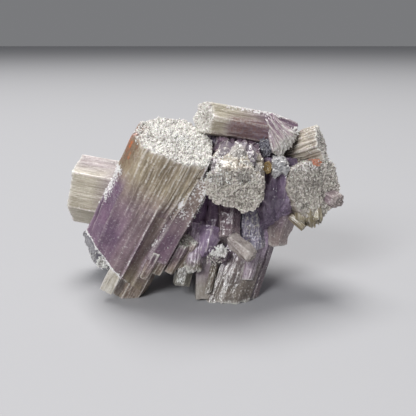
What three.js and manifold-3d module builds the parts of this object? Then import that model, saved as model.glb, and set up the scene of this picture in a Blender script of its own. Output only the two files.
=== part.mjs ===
// A cluster of aragonite crystals: stubby six-sided prisms, each a bundle of parallel twinned columns
// with fluted sides and ragged ends, grown through one another in all directions. The prisms that grow
// through each other are one solid. The crystals that only lean on that mass are solids of their own.
// Millimetres, +Z up. The cluster stands on the level ends of its three feet, on the plane z = 0. The front
// is -Y, and the origin is on that plane under the middle of the cluster.
import * as THREE from "three";
import { mergeVertices } from "three/addons/utils/BufferGeometryUtils.js";
import Module from "manifold-3d";

const wasm = await Module();
wasm.setup();

// ---- driving dimensions ----

const SEAM = 0.3; // open seam between two crystals that touch
const GROOVE = 0.3; // depth of a flute as a share of its width
const FLUTE_PLACE = [0.35, 0.65]; // where the bottom of a flute lies across its width
const FLUTE_DEPTH = [0.4, 1]; // how much of the full depth a flute has
const STUD_RISE = 0.55; // most that a stud stands above the end of its prism
const STUD_SPREAD = 0.68; // how much of an end the studs take up
const STUD_SIZE = [0.2, 0.28]; // width of a stud as a share of the prism's
const STUD_ROOT = 3; // how far a stud reaches down into the prism
const RIB_RISE = 0.3; // how far a rib stands out from the side of a prism
const RIB_PLACE = 0.93; // how far out a rib lies, because the sides lie inside the corners
const RIB_SIZE = [0.17, 0.27]; // width of a rib as a share of the prism's
const RIB_START = [0.18, 0.43]; // where a rib starts, as a share of the length from the inner end
const RIB_STOP = [0.03, 0.25]; // where it stops, as a share of the length from the outer end
const GOLDEN_TURN = Math.PI * (3 - Math.sqrt(5)); // turn between one stud or rib and the next

// Each prism has a tip, the middle of its outer end, and points, the way its axis runs out through that
// end. Each of its columns lies beside the axis at x and y, is wide and deep across its corners, and reaches
// from and to along the axis, where 0 is the tip. turn is its angle in degrees, flutes the number on each
// side, studs and ribs the number of those, slope and cut how steeply the outer and the inner end slant.
const LEFT_PRISM = {
  tip: [-4.7, -14.7, 34.6],
  points: [0.45, -0.21, 0.87],
  columns: [
    {
      ...{ x: 0.9, y: 1.7, wide: 14, deep: 15.4, from: -33, to: 0.1, turn: 10 },
      ...{ cut: 0.36, flutes: 3, studs: 9, ribs: 5 },
    },
    { x: -2.4, y: 0.4, wide: 12, deep: 13, from: -30, to: -1.2, turn: 30, cut: 0.36, flutes: 2, ribs: 4 },
    { x: 6, y: -2.6, wide: 6, deep: 6.4, from: -29, to: -5.6, flutes: 2 },
    { x: 3.6, y: -0.6, wide: 8.4, deep: 8.4, from: -33, to: -8, flutes: 2 },
    { x: 6.4, y: -0.4, wide: 6.8, deep: 6.4, from: -41, to: -10, turn: 10, flutes: 2 },
    { x: 4.4, y: -1.4, wide: 5.2, deep: 5.2, from: -41.5, to: -20, turn: 30, flutes: 2 },
    { x: 1.7, y: -2.6, wide: 3.8, deep: 3.8, from: -36.5, to: -20, turn: 30 },
    { x: 9.4, y: 0.2, wide: 4.8, deep: 4.8, from: -31, to: -20, turn: 10 },
    { x: 7.6, y: -2.4, wide: 3.2, deep: 3.2, from: -32, to: -20, turn: 20 },
  ],
};
const BACK_LEFT_PRISM = {
  tip: [-28, 6.3, 20.2],
  points: [-0.98, 0.16, 0.15],
  columns: [
    { x: 0, y: 0, wide: 13.2, deep: 15.2, from: -34, to: 0, turn: 38, flutes: 3, studs: 8, ribs: 6 },
  ],
};
const LOWER_BLOCK = {
  tip: [5.1, -7.7, -1.1],
  points: [-0.32, -0.33, -0.89],
  columns: [
    { x: 1, y: 0, wide: 12, deep: 13, from: -36, to: 2, turn: -12, flutes: 3, ribs: 5 },
    { x: -8.9, y: 1, wide: 4.6, deep: 4.4, from: -14, to: -0.2, turn: -10, flutes: 2 },
    { x: -5.9, y: 3.4, wide: 3.8, deep: 3.8, from: -12, to: 0.6, sides: 4 },
    { x: -5, y: -1.5, wide: 7.2, deep: 8, from: -26, to: -3, flutes: 2 },
    { x: -7, y: 2.5, wide: 4, deep: 4, from: -14, to: -5 },
  ],
};
const FRONT_CRYSTAL = {
  tip: [6.5, -18.7, 24.9],
  points: [-0.05, -0.91, -0.41],
  columns: [
    { x: 0, y: 0, wide: 12.4, deep: 10.4, from: -19, to: 0, turn: 14, flutes: 3, studs: 9, ribs: 6 },
  ],
};
const GROOVED_PIECE = {
  tip: [5.4, -4.9, 33.6],
  points: [0.4, 0.35, 0.85],
  columns: [{ x: 0, y: 0, wide: 7.8, deep: 7, from: -10, to: -0.2, turn: 8, flutes: 3, studs: 4 }],
};
const UPPER_BACK_MASS = {
  tip: [19.3, -1.7, 32.7],
  points: [0.83, -0.03, -0.55],
  columns: [{ x: 0, y: 0, wide: 6.2, deep: 5.8, from: -9, to: 0, turn: 20, flutes: 2, ribs: 3 }],
};
const FAN_OF_BLADES = {
  tip: [18, -8.2, 32.4],
  points: [0.5, -0.28, -0.8],
  columns: [
    { x: 0, y: 0, wide: 4.6, deep: 5.6, from: -6.5, to: 0, turn: 20, flutes: 2 },
    { x: 1.4, y: -0.8, wide: 3.4, deep: 4.8, from: -6, to: -0.8, turn: 10, flutes: 2 },
  ],
};
const RIGHT_CRYSTAL = {
  tip: [23.8, -10.7, 23.3],
  points: [0.45, -0.88, 0.12],
  columns: [
    { x: 0, y: 0, wide: 12.4, deep: 13.6, from: -14, to: 0, turn: 12, flutes: 3, studs: 10, ribs: 6 },
    { x: 4.5, y: -1.6, wide: 4.2, deep: 4, from: -9, to: -0.8, turn: 10 },
    { x: -1.5, y: -5.8, wide: 3, deep: 3, from: -8, to: -1.6 },
  ],
};
const INNER_PRISM = {
  tip: [16.4, -6, 10.8],
  points: [-0.12, -0.14, -0.98],
  columns: [
    { x: 0, y: 0, wide: 4.2, deep: 4.6, from: -14, to: 0, turn: 20, flutes: 2 },
    { x: 0.2, y: -0.2, wide: 6.4, deep: 6.2, from: -14, to: -3.6, turn: 20, flutes: 2 },
  ],
};
const INNER_PURPLE = {
  tip: [15, -9.6, 17.4],
  points: [0, -0.1, -0.99],
  columns: [
    { x: 0, y: 0, wide: 8, deep: 7.2, from: -12.5, to: 0, turn: 10 },
    { x: 3, y: -2.6, wide: 5.6, deep: 5.4, from: -10, to: 1.4, turn: 20 },
  ],
};
const BACK_PRISM = {
  tip: [-2.4, 19.3, 20],
  points: [-0.2, 0.95, 0.1],
  columns: [
    { x: 0, y: 0, wide: 12.8, deep: 12.4, from: -24, to: 0, turn: 5, flutes: 3, studs: 8, ribs: 5 },
  ],
};
const BACK_RIGHT_PRISM = {
  tip: [12.6, 15.3, 25.5],
  points: [0.42, 0.8, 0.25],
  columns: [
    { x: 0, y: 0, wide: 9.2, deep: 8.8, from: -20, to: 0, flutes: 3, studs: 6, ribs: 4 },
  ],
};
const BACK_UPPER_PRISM = {
  tip: [-8, 9, 29],
  points: [-0.5, 0.6, 0.62],
  columns: [
    { x: 0, y: 0, wide: 9.6, deep: 9, from: -19, to: 0, turn: 18, flutes: 3, studs: 6, ribs: 4 },
  ],
};
const BACK_FOOT = {
  tip: [7.6, 10.2, -1],
  points: [0.15, 0.42, -0.9],
  columns: [{ x: 0, y: 0, wide: 8.8, deep: 9.2, from: -20, to: 0, flutes: 3, ribs: 4 }],
};
const BACK_HEEL = {
  tip: [-6, 12, 1.4],
  points: [-0.1, 0.3, -0.95],
  columns: [{ x: 0, y: 0, wide: 9.2, deep: 8.8, from: -16, to: 0, turn: 10, flutes: 3, ribs: 3 }],
};

// The crystals that lean on the mass, in the order they are cut to fit.
const TOP_PRISM = {
  tip: [0.9, -8.7, 37.9],
  points: [-0.96, -0.2, 0.19],
  columns: [
    {
      ...{ x: 0, y: 0.1, wide: 7, deep: 7, from: -17, to: 0, turn: 12, slope: 0.4 },
      ...{ flutes: 3, studs: 5, ribs: 4 },
    },
    { x: 0, y: -0.8, wide: 5.2, deep: 5.2, from: -19, to: -2, flutes: 2 },
  ],
};
const UPPER_RIGHT_PRISM = {
  tip: [24.9, -6.4, 32.3],
  points: [0.78, -0.5, 0.36],
  columns: [
    { x: 0, y: 0, wide: 8.6, deep: 8.2, from: -7, to: 0, flutes: 3, studs: 6, ribs: 4 },
    { x: 0, y: 0, wide: 6.4, deep: 6.2, from: -12, to: -5, flutes: 2 },
  ],
};
const LOWER_LEFT_CRYSTAL = {
  tip: [-25.5, 7.3, 5.1],
  points: [-0.87, 0.1, -0.47],
  columns: [{ x: 0, y: 0, wide: 10.8, deep: 10, from: -17, to: 0, turn: 15, flutes: 2, ribs: 3 }],
};
const TABULAR_CRYSTAL = {
  tip: [10.4, -16.5, 11.1],
  points: [0.72, -0.52, -0.45],
  columns: [
    { x: 0, y: 0, wide: 4.4, deep: 3.8, from: -7, to: -0.7 },
    { x: 0.3, y: 0.2, wide: 2.8, deep: 2.4, from: -7, to: 0 },
  ],
};
const GLASSY_CRYSTAL = {
  tip: [15.9, -14, 28.9],
  points: [-0.06, -1, 0.05],
  columns: [
    { x: 0, y: 0, wide: 4.2, deep: 4.2, from: -8, to: 0, turn: 10 },
    { x: 1.1, y: 0.9, wide: 2, deep: 2.2, from: -6, to: -0.7, turn: 20 },
  ],
};
const AMBER_CRYSTAL = {
  tip: [13.5, -12.9, 28.6],
  points: [-0.1, -0.98, 0.15],
  columns: [{ x: 0, y: 0, wide: 1.9, deep: 2.6, from: -6, to: 0, turn: 15 }],
};
const SQUARE_CRYSTAL = {
  tip: [-5.3, -10.7, 10.3],
  points: [-0.21, -0.93, -0.3],
  columns: [{ x: 0, y: 0, wide: 3.4, deep: 2.6, from: -6, to: 0, sides: 4 }],
};
const KNOB_CRYSTAL = {
  tip: [-3.3, -11.6, 12.8],
  points: [-0.35, -0.9, 0.2],
  columns: [{ x: 0, y: 0, wide: 3, deep: 2.8, from: -6, to: 0 }],
};

// ---- colours ----

const BEIGE = 0xb3a88c;
const MAUVE = 0x8f7b95;
const GREY_GLASS = 0xa9adaf;
const AMBER = 0xb49a6c;
const CREAM = 0xc9bfa8;
const DULL = 0.62; // roughness of a fluted side
const GLASSY = 0.28; // roughness of a clear crystal

// ---- shared geometry ----

// A fixed value between low and high for the number i, so that repeated ribs and studs differ.
function between([low, high], i) {
  const value = Math.sin(i * 12.9898) * 43758.5453;
  return low + (high - low) * (value - Math.floor(value));
}

// Any three.js geometry as a closed manifold solid.
function solid(geometry) {
  geometry.deleteAttribute("normal");
  geometry.deleteAttribute("uv");
  const merged = mergeVertices(geometry, 1e-4);
  return new wasm.Manifold(
    new wasm.Mesh({
      numProp: 3,
      vertProperties: merged.attributes.position.array,
      triVerts: new Uint32Array(merged.index.array),
    }),
  );
}

// The outline of a column: straight sides between its corners, each scored with V-shaped flutes.
function columnOutline({ wide, deep, sides = 6, turn = 0, flutes = 0 }, grow) {
  const corner = (k) => {
    const angle = THREE.MathUtils.degToRad(turn) + (2 * Math.PI * k) / sides;
    return new THREE.Vector2(
      (wide / 2 + grow) * Math.cos(angle),
      (deep / 2 + grow) * Math.sin(angle),
    );
  };
  const points = [];
  for (let k = 0; k < sides; k += 1) {
    const start = corner(k);
    const along = corner(k + 1).sub(start);
    const inward = new THREE.Vector2(-along.y, along.x).normalize();
    points.push(start);
    const width = along.length() / flutes;
    for (let i = 0; i < flutes; i += 1) {
      const share = (i + between(FLUTE_PLACE, k * flutes + i + wide)) / flutes;
      const depth = GROOVE * width * between(FLUTE_DEPTH, i + deep);
      points.push(start.clone().addScaledVector(along, share).addScaledVector(inward, depth));
      if (i < flutes - 1) {
        points.push(start.clone().addScaledVector(along, (i + 1) / flutes));
      }
    }
  }
  return new THREE.Shape(points);
}

// One column along +Z from its inner to its outer end, either of which can slant across its width.
function column(spec, grow) {
  const length = spec.to - spec.from + 2 * grow;
  const geometry = new THREE.ExtrudeGeometry(columnOutline(spec, grow), {
    depth: length,
    bevelEnabled: false,
  });
  const place = geometry.attributes.position;
  for (let i = 0; i < place.count; i += 1) {
    const outer = place.getZ(i) > length / 2;
    const slant = outer ? (spec.slope ?? 0) : (spec.cut ?? 0);
    place.setZ(i, place.getZ(i) - slant * place.getX(i));
  }
  geometry.translate(spec.x, spec.y, spec.from - grow);
  return solid(geometry);
}

// The studs of a ragged end: thin columns side by side that stop a little above or below it.
function studs(spec) {
  return Array.from({ length: spec.studs ?? 0 }, (_, i) => {
    const reach = STUD_SPREAD * Math.sqrt((i + 0.5) / spec.studs);
    const x = (reach * spec.wide * Math.cos(i * GOLDEN_TURN)) / 2;
    const y = (reach * spec.deep * Math.sin(i * GOLDEN_TURN)) / 2;
    const size = between(STUD_SIZE, i) * spec.wide;
    const end = spec.to - (spec.slope ?? 0) * x + between([0, STUD_RISE], i + spec.wide);
    const place = { x: spec.x + x, y: spec.y + y, turn: 40 * i };
    return { ...place, wide: size, deep: size, from: end - STUD_ROOT, to: end };
  });
}

// The ribs of a prism: thin columns along its sides, each starting and stopping at its own height.
function ribs(spec) {
  const length = spec.to - spec.from;
  return Array.from({ length: spec.ribs ?? 0 }, (_, i) => {
    const angle = i * GOLDEN_TURN + spec.wide;
    const size = between(RIB_SIZE, i + 3) * spec.wide;
    const x = RIB_PLACE * (spec.wide / 2 - size / 2 + RIB_RISE) * Math.cos(angle);
    const y = RIB_PLACE * (spec.deep / 2 - size / 2 + RIB_RISE) * Math.sin(angle);
    return {
      x: spec.x + x,
      y: spec.y + y,
      wide: size,
      deep: size,
      turn: 25 * i,
      from: spec.from + length * between(RIB_START, i + 7),
      to: spec.to - length * between(RIB_STOP, i + 11),
    };
  });
}

// A whole prism in the cluster's frame. grow swells it all round, for cutting a seam in a neighbour.
function prism({ tip, points, columns }, grow = 0) {
  const along = new THREE.Vector3(...points).normalize();
  const steep = Math.abs(along.z) > 0.7;
  const base = steep ? new THREE.Vector3(0, Math.sign(along.z), 0) : new THREE.Vector3(0, 0, 1);
  const across = base.cross(along).normalize();
  const frame = new THREE.Matrix4()
    .makeBasis(across, along.clone().cross(across), along)
    .setPosition(...tip);
  const all = columns.flatMap((spec) => [spec, ...studs(spec), ...ribs(spec)]);
  return wasm.Manifold.union(all.map((spec) => column(spec, grow))).transform(frame.elements);
}

// Cuts the feet level at z = 0.
function standing(body) {
  const size = 200;
  const ground = solid(new THREE.BoxGeometry(size, size, size).translate(0, 0, -size / 2));
  return body.subtract(ground);
}

// The largest closed surface of a solid: leaves out loose chips, and the specks of space sealed between
// prisms that cross, which fill with rock.
function largest(body) {
  return body.decompose().sort((a, b) => b.volume() - a.volume())[0];
}

// A manifold solid back as a named three.js mesh in its own colour.
function crystalMesh(name, body, color, roughness) {
  const { numProp, vertProperties, triVerts } = body.getMesh();
  const geometry = new THREE.BufferGeometry();
  const place = new Float32Array((vertProperties.length / numProp) * 3);
  for (let i = 0; i < place.length / 3; i += 1) {
    place.set(vertProperties.subarray(i * numProp, i * numProp + 3), i * 3);
  }
  geometry.setAttribute("position", new THREE.BufferAttribute(place, 3));
  geometry.setIndex(new THREE.BufferAttribute(triVerts, 1));
  geometry.computeVertexNormals();
  const material = new THREE.MeshStandardMaterial({ color, roughness, metalness: 0 });
  const mesh = new THREE.Mesh(geometry, material);
  mesh.name = name;
  return mesh;
}

// ---- the mass of prisms grown through one another ----

const MASS = [
  LEFT_PRISM,
  BACK_LEFT_PRISM,
  LOWER_BLOCK,
  FRONT_CRYSTAL,
  GROOVED_PIECE,
  UPPER_BACK_MASS,
  FAN_OF_BLADES,
  RIGHT_CRYSTAL,
  INNER_PRISM,
  INNER_PURPLE,
  BACK_PRISM,
  BACK_RIGHT_PRISM,
  BACK_UPPER_PRISM,
  BACK_FOOT,
  BACK_HEEL,
];

function intergrownPrisms() {
  const body = standing(wasm.Manifold.union(MASS.map((spec) => prism(spec))));
  return crystalMesh("intergrown_prisms", largest(body), MAUVE, DULL);
}

// ---- the crystals that lean on it ----

// The part of a leaning crystal left outside its neighbours and the seam round them.
function leaning(spec, neighbours) {
  const taken = wasm.Manifold.union(neighbours.map((other) => prism(other, SEAM)));
  return largest(standing(prism(spec).subtract(taken)));
}

function topPrism() {
  return crystalMesh("top_prism", leaning(TOP_PRISM, MASS), CREAM, DULL);
}

function upperRightPrism() {
  const body = leaning(UPPER_RIGHT_PRISM, [...MASS, TOP_PRISM]);
  return crystalMesh("upper_right_prism", body, BEIGE, DULL);
}

function lowerLeftCrystal() {
  return crystalMesh("lower_left_crystal", leaning(LOWER_LEFT_CRYSTAL, MASS), GREY_GLASS, GLASSY);
}

function tabularCrystal() {
  return crystalMesh("tabular_crystal", leaning(TABULAR_CRYSTAL, MASS), CREAM, GLASSY);
}

function glassyCrystal() {
  const body = leaning(GLASSY_CRYSTAL, [...MASS, UPPER_RIGHT_PRISM]);
  return crystalMesh("glassy_crystal", body, GREY_GLASS, GLASSY);
}

function amberCrystal() {
  const body = leaning(AMBER_CRYSTAL, [...MASS, GLASSY_CRYSTAL]);
  return crystalMesh("amber_crystal", body, AMBER, GLASSY);
}

function squareCrystal() {
  return crystalMesh("square_crystal", leaning(SQUARE_CRYSTAL, MASS), BEIGE, GLASSY);
}

function knobCrystal() {
  const body = leaning(KNOB_CRYSTAL, [...MASS, SQUARE_CRYSTAL]);
  return crystalMesh("knob_crystal", body, CREAM, DULL);
}

// ---- assembly ----

const cluster = new THREE.Group();
cluster.name = "aragonite_cluster";
cluster.add(
  intergrownPrisms(),
  topPrism(),
  upperRightPrism(),
  lowerLeftCrystal(),
  tabularCrystal(),
  glassyCrystal(),
  amberCrystal(),
  squareCrystal(),
  knobCrystal(),
);

export default cluster;
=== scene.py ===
"""A cluster of purple and beige aragonite prisms grown through one another, on a plain pale floor."""

import bpy
import numpy as np
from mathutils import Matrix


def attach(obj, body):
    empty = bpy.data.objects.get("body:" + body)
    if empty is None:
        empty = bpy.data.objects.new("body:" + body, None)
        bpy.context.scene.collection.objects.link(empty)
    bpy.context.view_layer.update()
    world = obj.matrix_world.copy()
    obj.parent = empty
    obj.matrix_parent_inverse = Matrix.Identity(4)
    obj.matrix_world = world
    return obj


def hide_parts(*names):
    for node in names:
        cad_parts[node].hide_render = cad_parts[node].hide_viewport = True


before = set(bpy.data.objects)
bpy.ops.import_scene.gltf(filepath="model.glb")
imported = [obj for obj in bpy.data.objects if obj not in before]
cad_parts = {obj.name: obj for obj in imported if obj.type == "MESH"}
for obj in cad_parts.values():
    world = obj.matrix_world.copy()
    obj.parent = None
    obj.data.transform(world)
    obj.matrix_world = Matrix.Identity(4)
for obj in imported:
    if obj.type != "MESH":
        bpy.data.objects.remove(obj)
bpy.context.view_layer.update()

# ---- camera, floor and lights --------------------------------------------------------------------
# The stage, which is no part of the specimen: a matt pale floor, one broad soft lamp overhead towards the
# back, one in front at the upper left, and weak even light all round.

CAMERA_TILT = 14
MIDDLE_HEIGHT = 0.02
FLOOR_REACH = 3.0
camera = bpy.data.objects.new("camera", bpy.data.cameras.new("camera"))
camera.data.lens = 60.6
camera.data.clip_start = 0.01
camera.location = (0.0016, -0.1502, 0.0545)
camera.rotation_euler = (np.radians(90 - CAMERA_TILT), 0, 0)
bpy.context.scene.collection.objects.link(camera)
bpy.context.scene.camera = camera

for name, place, size, watts, colour in (
    ("overhead_lamp", (-0.2, 0.3, 1.3), 0.8, 19.0, (1.0, 0.99, 0.97)),
    ("front_lamp", (-0.7, -1.3, 0.9), 0.6, 19.5, (0.98, 0.99, 1.0)),
):
    lamp = bpy.data.objects.new(name, bpy.data.lights.new(name, "AREA"))
    lamp.data.size = size
    lamp.data.energy = watts
    lamp.data.color = colour
    lamp.location = place
    tilt = np.arctan2(np.hypot(place[0], place[1]), place[2] - MIDDLE_HEIGHT)
    lamp.rotation_euler = (tilt, 0, np.arctan2(place[0], -place[1]))
    bpy.context.scene.collection.objects.link(lamp)

world = bpy.data.worlds.new("even_light")
world.use_nodes = True
world.node_tree.nodes["Background"].inputs["Color"].default_value = (0.74, 0.75, 0.78, 1)
world.node_tree.nodes["Background"].inputs["Strength"].default_value = 0.26
bpy.context.scene.world = world
bpy.context.scene.view_settings.view_transform = "Standard"

floor_mesh = bpy.data.meshes.new("floor")
floor_corners = [(-1, -1, 0), (1, -1, 0), (1, 1, 0), (-1, 1, 0)]
floor_mesh.from_pydata((np.array(floor_corners) * FLOOR_REACH).tolist(), [], [(0, 1, 2, 3)])
floor = bpy.data.objects.new("floor", floor_mesh)
floor_paint = bpy.data.materials.new("floor_paint")
floor_paint.use_nodes = True
floor_shader = floor_paint.node_tree.nodes["Principled BSDF"]
floor_shader.inputs["Base Color"].default_value = (0.435, 0.435, 0.452, 1)
floor_shader.inputs["Roughness"].default_value = 0.75
floor_mesh.materials.append(floor_paint)
bpy.context.scene.collection.objects.link(floor)

# ---- the big left prism --------------------------------------------------------------------------
# The largest crystal, a bundle of parallel twinned columns that leans to the left. Its sides are fluted,
# its top is rough and pitted, its lower left is broken off on a slant, and smaller columns stand at its
# foot.

MM = 0.001
RIB_WIDTHS = 2.1, 0.62
RIB_LENGTHS = 17, 8
PLATE_SIZES = 0.95, 0.42
SHARP_ANGLE = 32
TABLE_SIZE = 8191
TABLE_STEPS = 1, 7919, 104729


def random_table(seed, *numbers):
    """A fixed random value from 0 to 1 for each set of whole numbers, looked up in one seeded table. The
    table's length and the steps between its rows are primes, so that no pattern repeats."""
    table = np.random.default_rng(seed).random(TABLE_SIZE)
    place = sum(n.astype(np.int64) * step for n, step in zip(numbers, TABLE_STEPS))
    return table[place % TABLE_SIZE]


def soft_noise(points, size, seed):
    """Smooth random value from -1 to 1: a random value at each corner of cubes of this size, blended
    between the eight corners with 3t^2 - 2t^3 along each axis."""
    q = np.asarray(points) / size
    low = np.floor(q)
    t = q - low
    t = t * t * (3 - 2 * t)
    total = 0.0
    for corner in np.ndindex(2, 2, 2):
        at = low + corner
        weight = np.prod(np.where(corner, t, 1 - t), axis=-1)
        total = total + weight * random_table(seed, at[..., 0], at[..., 1], at[..., 2])
    return 2 * total - 1


def noise_at(x, y, w, size, seed):
    """The same noise at places given as three arrays."""
    return soft_noise(np.stack([x, y, w], -1), size, seed)


def plates(x, y, size, seed):
    """Irregular plates on a plane, as on a cracked or columnar end: each point belongs to the nearest of
    one scattered seed per square of this size. Gives the plate's random value, and 0 at its border to 1
    inside."""
    qx, qy = x / size, y / size
    ix, iy = np.floor(qx), np.floor(qy)
    near = np.full(x.shape, 9.0)
    second = np.full(x.shape, 9.0)
    value = np.zeros(x.shape)
    for dx, dy in np.ndindex(3, 3):
        cx, cy = ix + dx - 1, iy + dy - 1
        sx = cx + 0.1 + 0.8 * random_table(seed, cx, cy)
        sy = cy + 0.1 + 0.8 * random_table(seed + 1, cx, cy)
        far = np.hypot(qx - sx, qy - sy)
        closer = far < near
        second = np.where(closer, near, np.minimum(second, far))
        value = np.where(closer, random_table(seed + 2, cx, cy), value)
        near = np.where(closer, far, near)
    return value, np.clip((second - near) * 1.6, 0, 1)


def ribs(around, along, count, length, seed):
    """Long narrow ribs side by side round a prism, broken into lengths: around runs from 0 to 1 and is cut
    in count ribs of uneven width, and along in millimetres is cut in each rib at uneven places. Gives a
    random value for each length of rib, and 0 at the rib's border to 1 at its middle."""
    q = around * count
    i = np.floor(q)
    near, second, owner = np.full(q.shape, 9.0), np.full(q.shape, 9.0), np.zeros(q.shape)
    for step in (-1, 0, 1):
        own = i + step
        far = np.abs(q - own - 0.15 - 0.7 * random_table(seed, own % count))
        closer = far < near
        second = np.where(closer, near, np.minimum(second, far))
        owner = np.where(closer, own % count, owner)
        near = np.where(closer, far, near)
    cut = along / length + 3 * random_table(seed + 1, owner)
    part = np.floor(cut + 0.5 * random_table(seed + 2, owner, np.floor(cut)))
    return random_table(seed + 3, owner, part), np.clip((second - near) * 1.4, 0, 1)


def axes_of(points):
    """The three directions of a prism from the way it points: across, up and along. Across lies level, or
    in the plane of X and Z where the prism is steep."""
    along = np.array(points, float) / np.linalg.norm(points)
    base = (0, np.sign(along[2]), 0) if abs(along[2]) > 0.7 else (0, 0, 1)
    across = np.cross(base, along)
    across = across / np.linalg.norm(across)
    return across, np.cross(along, across), along


def hexagon(x, y, wide, deep, turn=0, sides=6):
    """The corners of a regular outline that is squeezed to this width and depth, with its first corner at
    an angle of turn degrees."""
    k = np.radians(turn) + np.arange(sides) * 2 * np.pi / sides
    return np.stack([x + wide / 2 * np.cos(k), y + deep / 2 * np.sin(k)], -1)


def reach_of(corners, angle, core):
    """How far a column's outline lies from the core of the bundle at each angle: the farthest place where
    the ray at that angle crosses one of the outline's edges, or 0 where it passes the outline by."""
    start = np.array(corners, float) - core
    edge = np.roll(start, -1, axis=0) - start
    ray = np.stack([np.cos(angle), np.sin(angle)], -1)[:, None]
    spin = ray[..., 0] * edge[:, 1] - ray[..., 1] * edge[:, 0]
    spin = np.where(np.abs(spin) < 1e-9, 1e-9, spin)
    far = (start[:, 0] * edge[:, 1] - start[:, 1] * edge[:, 0]) / spin
    share = (start[:, 0] * ray[..., 1] - start[:, 1] * ray[..., 0]) / spin
    return np.where((share >= 0) & (share <= 1) & (far > 0), far, 0).max(1)


def blurred(grid, reach):
    """The mean of each grid value and its neighbours up to this many steps away, closed round the prism."""
    total = sum(np.roll(grid, k, axis=1) for k in range(-reach, reach + 1)) / (2 * reach + 1)
    padded = np.concatenate([total[:1]] * reach + [total] + [total[-1:]] * reach)
    return sum(padded[k:k + len(grid)] for k in range(2 * reach + 1)) / (2 * reach + 1)


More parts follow.
